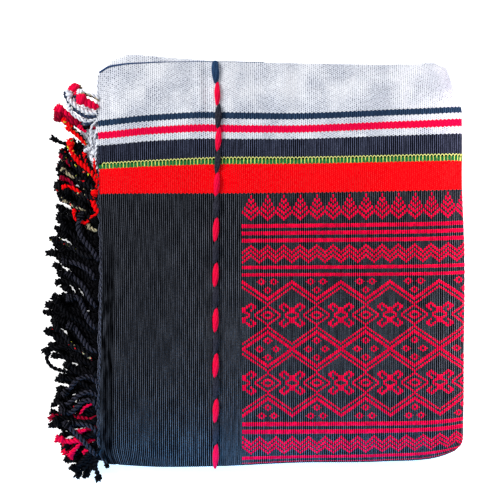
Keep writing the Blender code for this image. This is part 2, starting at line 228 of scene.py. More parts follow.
BACK_FOLD_Y = FACE_SELVAGE_Y - BACK_FOLD_INSET - HALF_PITCH - CLOTH_THICKNESS / 2
PACKET = (
    Run((FACE_SELVAGE_Y, LAYER_PITCH))
    .line_to((FRONT_FOLD_Y, LAYER_PITCH))
    .turn_to(0.0, -HALF_PITCH)
    .line_to((BACK_FOLD_Y, 0.0))
    .turn_to(-LAYER_PITCH, HALF_PITCH)
    .line_to((FRONT_FOLD_Y + UNDER_SELVAGE_INSET, -LAYER_PITCH))
    .finish()
)
CLOTH_WIDTH = PACKET.length[-1]
(FACE_END, MIDDLE_START), (MIDDLE_END, UNDER_START) = PACKET.turn_spans
print("The cloth is", round(CLOTH_WIDTH, 4), "by", round(CLOTH_LENGTH, 4), "m when it lies flat")


# %% Folding a point
TOP_PACKET_SHARE = 0.25
PEEK_FADE = 0.15
EDGE_SINK = 0.14
EDGE_SINK_WIDTH = 0.024
END_SINK = 0.10
END_SINK_WIDTH = 0.018
SWELL = 0.018


def soften(u, v, x, y, z):
    """The unevenness of the real stack, laid over the plain folded shape."""
    share = u / CLOTH_LENGTH
    y = y * (1 - curve_through(share, *zip(*NARROWING)))
    peek = curve_through(x * 1000, *zip(*LOWER_PEEK)) / 1000
    under_face = (v > FACE_END) | (share > TOP_PACKET_SHARE)
    back_half = np.clip(y / PEEK_FADE, 0, 1) ** 2
    y = y + np.where(under_face, peek * back_half, 0.0)
    moved_x = x + table_shift(x, y, SHIFT_X)
    moved_y = y + table_shift(x, y, SHIFT_Y)
    from_edge = np.minimum(FACE_SELVAGE_Y - y, y - FRONT_EDGE_Y)
    edge = np.exp(-((np.maximum(from_edge, 0) / EDGE_SINK_WIDTH) ** 2))
    end = np.exp(-((np.maximum(x + HALF_WIDTH, 0) / END_SINK_WIDTH) ** 2))
    swell = np.sin(x / 0.049 + 1.2) * np.cos(y / 0.043 + 0.4) + 0.6 * np.sin(x / 0.027 - y / 0.037)
    height = 1 - EDGE_SINK * edge - END_SINK * end + SWELL * swell * (1 - edge)
    return moved_x, moved_y, z * height


def fold(u, v, w):
    """Carries points of the flat cloth to where they lie. u starts at the upper fringed end."""
    y, above, heading = PACKET.at(v)
    y = y + w * np.sin(heading)
    above = above - w * np.cos(heading)
    x, z, heading = STRIP.at(u + MARGIN)
    x = x - above * np.sin(heading)
    z = z + above * np.cos(heading)
    return np.stack(soften(u, v, x, y, z), axis=1)


# %% [markdown]
# The frame's origin
#
# The solids were moved so that the middle of their box stands at the origin. The same move is read from
# the frame: along x from the box of the cloth's solid, and along y from the yarn, which starts at the
# selvage.

# %% Where the folded cloth stands in the frame
BOX_STEPS = 240
YARN_FROM_END = 0.1225
YARN_STITCH = 0.0236
YARN_OVERHANG = 0.06 * YARN_STITCH
YARN_LEVEL = 0.001
fold_stops = np.linspace(*STRIP.turn_spans[0], 40) - MARGIN
box_u = np.concatenate([np.linspace(0, CLOTH_LENGTH, BOX_STEPS), fold_stops])
box_v = np.linspace(0, CLOTH_WIDTH, BOX_STEPS)
both_sides = (-CLOTH_THICKNESS / 2, CLOTH_THICKNESS / 2)
box_grid = [part.ravel() for part in np.meshgrid(box_u, box_v, both_sides)]
box_x = fold(*box_grid)[:, 0]
solid_low, solid_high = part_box("blanket_cloth")
_, yarn_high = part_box("twined_yarn")
yarn_start = fold(*np.array([[YARN_FROM_END], [-YARN_OVERHANG], [YARN_LEVEL]]))[0]
moved_x = (solid_low.x + solid_high.x - box_x.min() - box_x.max()) / 2
ORIGIN = np.array([moved_x, yarn_high.y - yarn_start[1], 0.0])
print("The folded cloth is moved by", (ORIGIN * 1000).round(2), "mm")

# %% [markdown]
# Ribs, creases and the weave's waver
#
# Each thick weft pick lifts the warp into a rib 2.1 mm wide. A displaced texture could show them, but
# the red floats have to sit on them exactly, so the ribs are raised in the mesh. Hand weaving is never
# quite straight: the ribs waver a little, and the folded cloth keeps a few soft creases, listed here.

# %% The weave's sizes
PIXEL = 0.001039
PHOTO_MIDDLE = (281, 263)
RIB_PITCH = 2.04 * PIXEL
RIB_HEIGHT = 0.00022
HEADING = 0.0145
PATTERN_RIB = 64
LONG_WAVER = 0.00022
SHORT_WAVER = 0.00005
UNEVEN_BEAT = 0.00020
WAVER_FADE = 0.02
# In millimetres on the flat cloth: from u and v, to u and v, half the width, the height
CREASES = (
    ((12, 4), (13, 60), 3.0, -0.6),
    ((13, 50), (16, 130), 4.0, -0.35),
    ((112, 2), (114, 52), 4.6, -1.0),
    ((105, 2), (107, 48), 4.0, 0.8),
    ((119, 4), (121, 48), 3.5, 0.5),
    ((160, 10), (176, 48), 12.0, -1.3),
    ((196, 8), (188, 44), 8.0, 1.2),
    ((206, 14), (214, 60), 9.0, -1.2),
    ((262, 4), (300, 30), 12.0, 1.0),
    ((300, 40), (350, 12), 9.0, -0.9),
    ((30, 150), (38, 330), 12.0, -0.7),
    ((74, 240), (70, 405), 11.0, 0.6),
    ((250, 392), (372, 372), 8.0, 1.0),
    ((330, 60), (374, 52), 8.0, -0.9),
)


def rib_centre(number):
    """u of a rib's crest, counted from the heading."""
    return HEADING + (number + 0.5) * RIB_PITCH


def photo_place(px, py):
    """x and y in the frame of a place in the photograph's 500 by 500 pixels."""
    return (px - PHOTO_MIDDLE[0]) * PIXEL + ORIGIN[0], (PHOTO_MIDDLE[1] - py) * PIXEL + ORIGIN[1]


def crease_height(u, v):
    """The soft troughs and ridges of the face, in metres."""
    height = np.zeros_like(u)
    for (start_u, start_v), (end_u, end_v), half_width, rise in CREASES:
        start = np.array([start_u, start_v]) / 1000
        run = np.array([end_u, end_v]) / 1000 - start
        share = ((u - start[0]) * run[0] + (v - start[1]) * run[1]) / (run @ run)
        near = np.clip(share, 0, 1)
        distance = np.hypot(u - start[0] - near * run[0], v - start[1] - near * run[1])
        height += rise / 1000 * np.exp(-((distance * 1000 / half_width) ** 2))
    return height


def waver(u, v):
    """How far a rib lies off its straight line, in metres, fading out at both ends of the cloth."""
    bend = LONG_WAVER * np.sin(v / 0.047 + 1.4 * np.sin(u / 0.06))
    bend = bend + SHORT_WAVER * np.sin(v / 0.011 + u / 0.017)
    bend = bend + UNEVEN_BEAT * np.sin(u / 0.0087 + 0.8 * np.sin(v / 0.09))
    inside = np.clip(u / WAVER_FADE, 0, 1) * np.clip((CLOTH_LENGTH - u) / WAVER_FADE, 0, 1)
    return bend * inside


def lay(u, v, w):
    """Folds points of the cloth with its waver and creases, and brings them to the frame's origin."""
    u, v, w = (np.asarray(values, float) for values in np.broadcast_arrays(u, v, w))
    return fold(u + waver(u, v), v, w + crease_height(u, v)) + ORIGIN


# %% [markdown]
# Shader maths
#
# Nodes written one by one are hard to read. This small class wraps a socket, so that sums, products and
# comparisons of sockets read like Python and add their own Math nodes.

# %% A socket that can be used in expressions
class Wire:
    """A socket in a material's nodes, or the start of one."""

    def __init__(self, tree, socket=None):
        self.tree = tree
        self.socket = socket

    def node(self, kind, settings=None, values=None, output=0):
        """Adds a node: first its settings, then the numbers or wires of its sockets."""
        made = self.tree.nodes.new(kind)
        for name, value in (settings or {}).items():
            setattr(made, name, value)
        for place, value in (values or {}).items():
            if isinstance(value, Wire):
                self.tree.links.new(value.socket, made.inputs[place])
            else:
                made.inputs[place].default_value = value
        return Wire(self.tree, made.outputs[output])

    def math(self, operation, first, second=0.0):
        return self.node("ShaderNodeMath", {"operation": operation}, {0: first, 1: second})

    def __add__(self, other):
        return self.math("ADD", self, other)

    __radd__ = __add__

    def __sub__(self, other):
        return self.math("SUBTRACT", self, other)

    def __rsub__(self, other):
        return self.math("SUBTRACT", other, self)

    def __mul__(self, other):
        return self.math("MULTIPLY", self, other)

    __rmul__ = __mul__

    def wave(self):
        """1 where the value is whole, 0 half way between."""
        return self.math("COSINE", self * math.tau) * 0.5 + 0.5

    def remainder(self, step):
        """0 or 1 by turns where step is 2: the whole part's remainder."""
        return self.math("FLOORED_MODULO", self.math("FLOOR", self), step)

    def between(self, low, high):
        """0 below low, 1 above high, and smooth between."""
        settings = {"interpolation_type": "SMOOTHSTEP"}
        values = {"Value": self, "From Min": low, "From Max": high}
        return self.node("ShaderNodeMapRange", settings, values)

    def mix(self, low, high):
        """The colour low where this is 0, high where it is 1."""
        return self.node("ShaderNodeMix", {"data_type": "RGBA"}, {0: self, 6: low, 7: high}, output=2)

    def noise(self, scale, detail=2.0):
        """Soft noise from 0 to 1 at the place that this wire gives, in metres."""
        values = {"Vector": self, "Scale": scale, "Detail": detail}
        return self.node("ShaderNodeTexNoise", {}, values)


def tint(code):
    """A linear colour from the usual six-digit code."""
    parts = [int(code[i : i + 2], 16) / 255 for i in (0, 2, 4)]
    return (*(p / 12.92 if p <= 0.04045 else ((p + 0.055) / 1.055) ** 2.4 for p in parts), 1.0)


def new_finish(name, roughness, specular=0.1):
    """A material with one shader: gives it back with its shader and a wire to start from."""
    material = bpy.data.materials.new(name)
    material.use_nodes = True
    shader = material.node_tree.nodes["Principled BSDF"]
    shader.inputs["Roughness"].default_value = roughness
    shader.inputs["Specular IOR Level"].default_value = specular
    return material, shader, Wire(material.node_tree)


def connect(wire, shader, name):
    """Leads a wire to one of the shader's sockets."""
    wire.tree.links.new(wire.socket, shader.inputs[name])


def emboss(height, shader, distance, strength=0.6):
    """Turns a height from 0 to 1 into small relief. distance is its depth in metres."""
    values = {"Strength": strength, "Distance": distance, "Height": height}
    connect(height.node("ShaderNodeBump", {}, values), shader, "Normal")


def cloth_place(start):
    """The UV map that every piece has, as a place and as its two numbers."""
    place = start.node("ShaderNodeUVMap", {"uv_map": "cloth"})
    first = place.node("ShaderNodeSeparateXYZ", {}, {0: place}, output=0)
    second = place.node("ShaderNodeSeparateXYZ", {}, {0: place}, output=1)
    return place, first, second


def stretched_noise(place, across, down, scale=1.0, detail=2.0):
    """Noise with its own scale across the ribs and down them."""
    mapped = place.node("ShaderNodeMapping", {}, {"Vector": place, "Scale": (across, down, 1.0)})
    return mapped.noise(scale, detail)


# %% [markdown]
# Camera, floor and light
#
# The photograph looks straight down from far away, so the camera is a long lens high above the stack. A
# plain floor under soft light would turn grey beside the stack, so this one glows a little and stays
# white. The light is a bright soft sky and a large soft source from the left, which draws the ribs. Two
# low strips of light stand beside the stack: the photograph has a blue glow along its front edge, and a
# pale one at its right end.

# %% The camera
CAMERA_HEIGHT = 3.2
FACE_HEIGHT = 0.033
FRAME_WIDTH = 500 * PIXEL
camera_data = bpy.data.cameras.new("camera")
camera_data.sensor_width = 36.0
camera_data.lens = camera_data.sensor_width * (CAMERA_HEIGHT - FACE_HEIGHT) / FRAME_WIDTH
camera_data.clip_end = 20.0
camera = bpy.data.objects.new("camera", camera_data)
camera.location = (*photo_place(250, 250), CAMERA_HEIGHT)
bpy.context.scene.collection.objects.link(camera)
bpy.context.scene.camera = camera
print("The lens is", round(camera_data.lens, 1), "mm")

# %% The floor
FLOOR_DROP = 0.0007
FLOOR_REACH = 4
bpy.context.scene.view_settings.view_transform = "Standard"
floor_finish, floor_shader, _ = new_finish("pale_floor", 0.8)
floor_shader.inputs["Base Color"].default_value = (0.93, 0.93, 0.93, 1)
floor_shader.inputs["Emission Color"].default_value = (1, 1, 1, 1)
floor_shader.inputs["Emission Strength"].default_value = 0.57
floor_mesh = bpy.data.meshes.new("floor")
floor_corners = [(x * FLOOR_REACH, y * FLOOR_REACH, 0) for x, y in ((-1, -1), (1, -1), (1, 1), (-1, 1))]
floor_mesh.from_pydata(floor_corners, [], [(0, 1, 2, 3)])
floor_mesh.materials.append(floor_finish)
floor = bpy.data.objects.new("floor", floor_mesh)
floor.location = (0, 0, -FLOOR_DROP)
bpy.context.scene.collection.objects.link(floor)

# %% The light
world = bpy.data.worlds.new("soft_sky")
world.use_nodes = True
world.node_tree.nodes["Background"].inputs["Color"].default_value = (0.93, 0.96, 1.0, 1)
world.node_tree.nodes["Background"].inputs["Strength"].default_value = 0.62
bpy.context.scene.world = world


def add_sun(name, strength, colour, lean, turn, angle):
    """A soft distant source, leaning from the zenith by lean, towards the turn, in degrees."""
    data = bpy.data.lights.new(name, "SUN")
    data.energy = strength
    data.color = colour
    data.angle = math.radians(angle)
    sun = bpy.data.objects.new(name, data)
    sun.rotation_euler = (0, math.radians(lean), math.radians(turn))
    bpy.context.scene.collection.objects.link(sun)


add_sun("key", 3.1, (1.0, 0.995, 0.985), lean=-54, turn=-25, angle=24)

# %% The strips of light
STRIP_LIGHT = (0.42, 0.03)
STRIP_LEAN = 62


def add_strip(name, energy, colour, place, turn):
    """A low strip of light beside an edge of the stack, facing it. turn is its heading in degrees."""
    data = bpy.data.lights.new(name, "AREA")
    data.shape = "RECTANGLE"
    data.size, data.size_y = STRIP_LIGHT
    data.energy = energy
    data.color = colour
    strip = bpy.data.objects.new(name, data)
    strip.location = place
    strip.rotation_euler = (math.radians(STRIP_LEAN), 0, math.radians(turn))
    bpy.context.scene.collection.objects.link(strip)


add_strip("front", 0.40, (0.05, 0.5, 1.0), (*photo_place(275, 492), 0.080), turn=0)
add_strip("side", 0.17, (1.0, 0.88, 0.93), (*photo_place(486, 250), 0.058), turn=90)

# %% [markdown]
# The cloth's stripes
#
# On the real cloth a stripe is a run of warp threads of one colour, so it goes through every layer. Each
# colour is a material of its own, and a face of the mesh wears the colour of the stripe that it lies in.
# The stripes are listed from the face's selvage with the place where each ends, in millimetres.

# %% The stripes
STRIPES = (
    (52.2, "white"),
    (58.8, "navy"),
    (65.1, "white"),
    (72.8, "crimson"),
    (79.8, "white"),
    (100.2, "ink"),
    (102.0, "dark"),
    (106.8, "green"),
    (137.1, "scarlet"),
    (460.3, "black"),
    (470.0, "scarlet"),
    (475.0, "green"),
    (722.0, "black"),
    (962.0, "white"),
    (1226.0, "black"),
    (1236.0, "crimson"),
    (2000.0, "black"),
)
STRIPE_ENDS = np.array([end for end, _ in STRIPES]) / 1000
print("There are", len(STRIPES), "stripes from selvage to selvage")

# %% [markdown]
# The weave's finish
#
# Close to, each rib of the real cloth has a light crest and a dark valley, and the weft shows between
# the warp threads as dots that are staggered from rib to rib. Here the light of the crest is a painted
# highlight and the dark of the valley a painted shade. A tiled image could show all that, but it would
# repeat and would stop at the folds. Here shader maths draws it from the cloth's own coordinates, so it
# follows the ribs of the mesh. The first 14 mm at the warp end are the heading, beaten closer: on the
# face it is a smooth dark strip with a groove beside it, and the shade in the groove is painted.

# %% The weave's finish
HEADING_EDGE = 0.002
SMOOTH_START = 0.13
SMOOTH_FULL = 0.26
THREAD_PITCH = 0.00105
# Columns: crest of the rib with its painted highlight, valley between ribs with its painted shade,
# staggered dots and their share, least light, width of the crest, how much the shade varies over the
# cloth, how much lighter the cloth is beyond the yarn
CLOTH_COLOURS = {
    "white": (tint("fbfbfc"), tint("bfc3d0"), tint("101b42"), 1.25, 0.42, 0.9, 1.0, 0.0),
    "navy": (tint("4f6c90"), tint("0a172a"), tint("0a1120"), 0.4, 0.1, 0.6, 0.4, 0.0),
    "crimson": (tint("ff0448"), tint("d80034"), tint("ff5076"), 0.3, 0.3, 0.9, 0.4, 0.0),
    "black": (tint("828692"), tint("010102"), tint("010102"), 0.2, 0.0, 0.38, 0.3, 0.36),
    "ink": (tint("868eb0"), tint("020205"), tint("010104"), 0.2, 0.0, 0.42, 0.3, 0.42),
    "dark": (tint("202018"), tint("040403"), tint("040403"), 0.2, 0.0, 0.8, 0.4, 0.0),
    "green": (tint("2fa65c"), tint("0b4f24"), tint("6fc27c"), 0.2, 0.1, 0.8, 0.4, 0.0),
    "scarlet": (tint("ff0010"), tint("f20008"), tint("ff5450"), 0.55, 0.3, 0.9, 0.4, 0.0),
}
BLACK = (0.0, 0.0, 0.0, 1)
CLOUD_SHADE = (0.80, 0.82, 0.86, 1)
WHITE = (1.0, 1.0, 1.0, 1)


def weave_finish(name, crest_highlight, shaded_valley, dots, dot_share, least, crest_width, cloud, beyond):
    """Warp-faced cloth of one colour, shaded from the cloth's own coordinates."""
    material, shader, start = new_finish("cloth_" + name, 1.0, specular=0.0)
    place, u, v = cloth_place(start)
    # The ribs, and the heading, which is smooth
    heading = 1 - u.between(HEADING - HEADING_EDGE, HEADING)
    smooth_part = (v.between(SMOOTH_START, SMOOTH_FULL) - v.between(0.44, 0.46)) * heading
    ribbed = 1 - smooth_part * 0.9
    ribs = (u - HEADING) * (1 / RIB_PITCH)
    crown = (ribs - 0.5).wave()
    slope = stretched_noise(place, 260.0, 42.0, 1.0, 3.0).between(0.30, 0.72) * 0.22 + 0.64
    light = crown * ribbed + (1 - ribbed) * slope
    # The threads, staggered from rib to rib, and their uneven spinning
    threads = v * (1 / THREAD_PITCH)
    strand = (threads + ribs.remainder(2.0) * 0.5).wave()
    dot = (threads * 0.5 + (ribs + 0.5).remainder(2.0) * 0.5 + place.noise(420.0) * 0.9).wave()
    streak = stretched_noise(place, 1 / RIB_PITCH, 46.0, 0.9).between(0.3, 0.7)
    grain = place.noise(1100.0, 3.0).between(0.25, 0.75)
    # Soft clouds, and the part beyond the yarn, where the crests are drawn lighter; worn only marks that
    # part
    broad = place.noise(26.0, 3.0).between(0.34, 0.66) * cloud + (1 - cloud) * 0.5
    worn = u.between(0.03, 0.15) * (v.between(0.16, 0.34) * 0.5 + 0.5)
    # The colour, from the painted shade of the valley to the painted highlight of the crest, then the
    # dots, the painted shade of the groove and the clouds over it
    share = light.between(1 - crest_width, 1.0) * (streak * 0.48 + 0.36) * (grain * 0.6 + 0.4)
    share = share * (broad * 0.35 + 0.8) * (worn * beyond + (1 - beyond * 0.4))
    colour = (share * (1 - least) + least).mix(shaded_valley, crest_highlight)
    picked = stretched_noise(place, 1 / RIB_PITCH, 150.0, 2.4, 3.0).between(0.36, 0.6)
    strength = picked * ribbed * (1.0 - broad * 0.55) * dot_share
    colour = (dot.between(0.2, 0.7) * (1 - crown).between(0.12, 0.7) * strength).mix(colour, dots)
    # Painted shade: the groove beside the heading is drawn darker, and the smooth heading a little darker
    # too
    groove = u.between(0.004, 0.010) * smooth_part
    colour = (groove * 0.4 + smooth_part * 0.2).mix(colour, BLACK)
    settings = {"data_type": "RGBA", "blend_type": "MULTIPLY"}
    shade = {0: 1.0, 6: colour, 7: broad.mix(CLOUD_SHADE, WHITE)}
    connect(place.node("ShaderNodeMix", settings, shade, output=2), shader, "Base Color")
    emboss(light * 0.5 + strand * 0.3 + grain * 0.3 + streak * 0.2, shader, 0.0004)
    return material


cloth_finishes = {name: weave_finish(name, *colours) for name, colours in CLOTH_COLOURS.items()}
CLOTH_ORDER = list(cloth_finishes)
stripe_wears = np.array([CLOTH_ORDER.index(colour) for _, colour in STRIPES])
print("The cloth wears", len(cloth_finishes), "colours")

# %% [markdown]
# Making a piece from points
#
# The joined pieces have many thousand points, so they are made from arrays, in one call each.

# %% A helper that makes a piece
def make_piece(name, points, faces, materials, worn, corner_uv):
    """An object from points and faces, with each face's material and each corner's UV."""
    mesh = bpy.data.meshes.new(name)
    mesh.from_pydata(points.tolist(), [], faces)
    for material in materials:
        mesh.materials.append(material)
    mesh.polygons.foreach_set("material_index", np.asarray(worn, np.int32))
    layer = mesh.uv_layers.new(name="cloth")
    layer.uv.foreach_set("vector", np.asarray(corner_uv, np.float32).ravel())
    mesh.polygons.foreach_set("use_smooth", np.ones(len(mesh.polygons), bool))
    mesh.update()
    piece = bpy.data.objects.new(name, mesh)
    bpy.context.scene.collection.objects.link(piece)
    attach(piece, "root")
    triangles = sum(len(face) - 2 for face in faces)
    print(name, "has", triangles, "triangles")
    return piece


# %% [markdown]
# The cloth
#
# The face of the stack needs four columns of points for each rib, but the layers inside don't. A
# subdivision can't be fine in one place only, so the outer side is drawn as three patches, one fine and
# two coarse, and the inner side as one. Where two patches meet, their rows are laced together with a
# triangle for each step.

# %% Patches that are laced together
class Shell:
    """Patches of points in the cloth's coordinates, and the faces that join them."""

    def __init__(self):
        self.rows = []
        self.faces = []
        self.count = 0

    def patch(self, us, vs, side, tooth=None):
        """Adds a grid of points on one side of the cloth, and gives back their numbers."""
        u, v = np.meshgrid(us, vs, indexing="ij")
        band = v.copy()
        if tooth is not None:
            v = v + tooth(u, v)
        numbers = self.count + np.arange(u.size).reshape(u.shape)
        self.count += u.size
        self.rows.append(np.stack([u, v, cloth_level(u, v, side), band], axis=-1).reshape(-1, 4))
        corners = (numbers[:-1, :-1], numbers[:-1, 1:], numbers[1:, 1:], numbers[1:, :-1])
        if side < 0:
            corners = corners[::-1]
        self.faces += np.stack(corners, axis=-1).reshape(-1, 4).tolist()
        return numbers

    def lace(self, first, first_at, second, second_at):
        """Fills the seam between two rows of points that run the same way.

        The order of the rows decides which side of the seam faces out, as the order of corners does
        for a face.
        """
        i = 0
        j = 0
        while i < len(first) - 1 or j < len(second) - 1:
            first_next = first_at[i + 1] if i < len(first) - 1 else math.inf
            second_next = second_at[j + 1] if j < len(second) - 1 else math.inf
            if first_next <= second_next:
                self.faces.append((int(first[i]), int(second[j]), int(first[i + 1])))
                i += 1
            else:
                self.faces.append((int(first[i]), int(second[j]), int(second[j + 1])))
                j += 1


# %% [markdown]
# The cloth's surface
#
# A border of the real cloth is round, not cut square, and its ribs lie on the outside only, flatter in
# the white field and almost gone in the heading. A Displace modifier could push them out, but it moves a
# point along its normal and not through the cloth's own thickness, so the height is worked out for each
# point.

# %% The height of the surface at each point
EDGE_ROUND = 0.0011
EDGE_LEAST = 0.35
WHITE_FIELD_END = 0.0522
WHITE_RIB_SHARE = 0.55
GROOVE_DEPTH = 0.0005
GROOVE_WIDTH = 0.0018
GROOVE_U = HEADING - 0.0012


def cloth_level(u, v, side):
    """w of the cloth's surface: its thickness, rounded off at its borders, and its ribs on the outside."""
    inward = np.minimum(np.minimum(u, CLOTH_LENGTH - u), np.minimum(v, CLOTH_WIDTH - v))
    rounded = np.sqrt(1 - (1 - np.clip(inward / EDGE_ROUND, 0, 1)) ** 2)
    level = side * CLOTH_THICKNESS / 2 * (EDGE_LEAST + (1 - EDGE_LEAST) * rounded)
    if side < 0:
        return level
    down_share = np.clip((v - SMOOTH_START) / (SMOOTH_FULL - SMOOTH_START), 0, 1)
    smooth_part = down_share * np.clip((HEADING - u) / HEADING_EDGE, 0, 1)
    ribbed = (1 - 0.9 * smooth_part) * (u < FINE_END_U) * (v < FINE_END_V)
    rib = np.cos((u - rib_centre(0)) / RIB_PITCH * math.tau)
    uneven = 1 + 0.25 * np.sin(u / 0.0031) * np.sin(v / 0.017 + u / 0.004)
    deep = 0.15 + 0.85 * np.clip((v - 0.10) / 0.12, 0, 1)
    groove = GROOVE_DEPTH * deep * np.exp(-(((u - GROOVE_U) / GROOVE_WIDTH) ** 2))
    strength = np.where(v < WHITE_FIELD_END, WHITE_RIB_SHARE, 1.0)
    return level + RIB_HEIGHT * strength * rib * uneven * ribbed * rounded - groove * (v < FINE_END_V)


# %% Where the rows and columns of points lie
def stations(start, end, step, fixed=()):
    """Places from start to end at most a step apart, with all the fixed places among them."""
    stops = sorted({start, end, *(place for place in fixed if start < place < end)})
    found = [start]
    for low, high in zip(stops, stops[1:]):
        count = max(1, math.ceil((high - low) / step))
        found += [low + (high - low) * i / count for i in range(1, count + 1)]
    return np.array(found)


def turn_stops(run, steps, offset=0.0):
    """Places through each half turn of a fold line."""
    stops = []
    for (low, high), count in zip(run.turn_spans, steps):
        stops += [float(place) - offset for place in np.linspace(low, high, count + 1)]
    return stops


# %% [markdown]
# The edges of the stripes
#
# Where two colours meet in real cloth of this kind, each rib's threads end a little higher or lower than
# the last, so the edge is toothed, and it wanders a little too. The fine patch has a row of points along
# every edge of a stripe, and that row alone is moved.

# %% Toothed edges
TOOTH_REACH = 0.0006
WAVER_MIDDLE = 0.066
WAVER_SPREAD = 0.030
# u, and how far the stripes near the white field lie off a straight line, both in millimetres
STRIPE_WAVER = (
    (0, 0.0),
    (20, 0.5),
    (47, 1.3),
    (75, 1.0),
    (105, 0.3),
    (140, -1.5),
    (180, -1.3),
    (240, -0.6),
    (300, 0.0),
)


def stripe_teeth(u, v):
    """How far the edge of a stripe wanders, and steps up or down at each pair of ribs."""
    at_edge = np.min(np.abs(v[..., None] - STRIPE_ENDS[None, None, :]), axis=-1) < 1e-6
    along = (u - HEADING) / RIB_PITCH / 2
    steps = TOOTH_REACH * (np.abs(along % 1 - 0.5) * 4 - 1)
    wander = curve_through(u.ravel() * 1000, *zip(*STRIPE_WAVER)).reshape(u.shape) / 1000
    near_top = np.exp(-(((v - WAVER_MIDDLE) / WAVER_SPREAD) ** 2))
    return np.where(at_edge, steps - wander * near_top, 0.0)


# %% The cloth's mesh
COLUMNS_PER_RIB = 4
HEADING_RIBS = 6
FINE_END_V = MIDDLE_START + 0.003
LAST_FOLD_END = STRIP.turn_spans[0][1] - MARGIN
FINE_RIBS = int((LAST_FOLD_END + 0.004 - HEADING) / RIB_PITCH)
FINE_END_U = HEADING + FINE_RIBS * RIB_PITCH
SEAM = 0.005
FINE_STEP = 0.0090
COARSE_STEP = 0.014
COARSE_ROW_STEP = 0.016
INNER_STEP = 0.015
INNER_ROW_STEP = 0.018
HEADING_COLUMNS = (0, 0.0003, 0.0007, 0.0012)
SELVAGE_ROWS = (0.0003, 0.0008, 0.0014)


def make_cloth():
    """The whole cloth as one closed sheet, folded."""
    columns = np.arange(-HEADING_RIBS * COLUMNS_PER_RIB, FINE_RIBS * COLUMNS_PER_RIB + 1)
    rib_columns = HEADING + columns * RIB_PITCH / COLUMNS_PER_RIB
    fine_u = np.array([*HEADING_COLUMNS, *rib_columns])
    folds = turn_stops(PACKET, (8, 6))
    fine_v = stations(0, FINE_END_V, FINE_STEP, [*STRIPE_ENDS, *folds, *SELVAGE_ROWS])
    near_u = stations(0, FINE_END_U, COARSE_STEP, turn_stops(STRIP, (10, 6, 6), MARGIN))
    near_v = stations(FINE_END_V + SEAM, CLOTH_WIDTH, COARSE_ROW_STEP, [*STRIPE_ENDS, *folds])
    far_stops = turn_stops(STRIP, (10, 8, 8), MARGIN)
    far_u = stations(FINE_END_U + SEAM, CLOTH_LENGTH, COARSE_STEP, [*far_stops, CLOTH_LENGTH - EDGE_ROUND])
    far_v = stations(0, CLOTH_WIDTH, COARSE_ROW_STEP, [*STRIPE_ENDS, *folds, EDGE_ROUND])
    inner_u = stations(0, CLOTH_LENGTH, INNER_STEP, [*far_stops, EDGE_ROUND, CLOTH_LENGTH - EDGE_ROUND])
    inner_v = stations(0, CLOTH_WIDTH, INNER_ROW_STEP, [*STRIPE_ENDS, *folds, EDGE_ROUND])
    shell = Shell()
    fine = shell.patch(fine_u, fine_v, 1, stripe_teeth)
    near = shell.patch(near_u, near_v, 1)
    far = shell.patch(far_u, far_v, 1)
    inner = shell.patch(inner_u, inner_v, -1)
    shell.lace(fine[:, -1], fine_u, near[:, 0], near_u)
    shell.lace(far[0], far_v, [*fine[-1], *near[-1]], [*fine_v, *near_v])
    shell.lace(inner[:, 0], inner_u, [*fine[:, 0], *far[:, 0]], [*fine_u, *far_u])
    shell.lace([*near[:, -1], *far[:, -1]], [*near_u, *far_u], inner[:, -1], inner_u)
    shell.lace([*fine[0], *near[0]], [*fine_v, *near_v], inner[0], inner_v)
    shell.lace(inner[-1], inner_v, far[-1], far_v)
    u, v, w, band = np.concatenate(shell.rows).T
    points = lay(u, v, w)
    corner = np.concatenate([np.array(face) for face in shell.faces])
    sizes = np.array([len(face) for face in shell.faces])
    starts = np.concatenate([[0], np.cumsum(sizes)[:-1]])
    middle = np.add.reduceat(band[corner], starts) / sizes
    worn = stripe_wears[np.searchsorted(STRIPE_ENDS, middle)]
    uv = np.stack([u, v], axis=1)[corner]
    return make_piece("woven_cloth", points, shell.faces, list(cloth_finishes.values()), worn, uv)


cloth = make_cloth()
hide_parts("blanket_cloth")

# %% [markdown]
# The red pattern
#
# The pattern is brocade: an extra red weft that floats over a rib for two to four millimetres, and so
# shows as a short upright dash. It is charted here as a weaver would note it, rib by rib, with the
# places down the rib in steps of about a millimetre. Trees and zigzags repeat every 8 ribs, and diamonds
# every 24. The lower half mirrors the upper one, with its border two steps further out, and the plain
# double lines beside the diamonds have their own places, because they differ above and below.

# %% The chart, in steps of a millimetre down the rib
FIELD_START = 0.1371
TREE_REPEAT = 8
TREE_TOP = 2.0
TREE_CHEVRONS = 5
CHEVRON_STEP = 5.6
CHEVRON_SLOPE = 1.75
CHEVRON_DASH = 3.4
BORDER_LINES = ((31.0, 35.0), (38.2, 42.2), (45.5, 49.5))
FIELD_LINES = ((72.5, 76.0), (80.0, 83.3), (228.5, 232.7), (236.0, 240.3))
ZIGZAG_TOP = 51.6
ZIGZAG_LINES = 3
ZIGZAG_STEP = 4.75
ZIGZAG_SLOPE = 1.62
ZIGZAG_DASH = 2.9
FIELD_STEPS = 311.0
BORDER_STEPS = 313.0

# %% The diamonds of the chart
DIAMOND_REPEAT = 24
SLOPE = 1.42
FIELD_MIDDLE = 155.5
THICK_TOP = 88.9
THIN_TOP = 94.2
THIN_FOOT = 150.3
THICK_HALF = 1.8
THIN_HALF = 1.15
MOTIF_MIDDLE = 121.8
SMALL_DIAMOND_HALF = 9.4
SMALL_DIAMOND_RIBS = 6
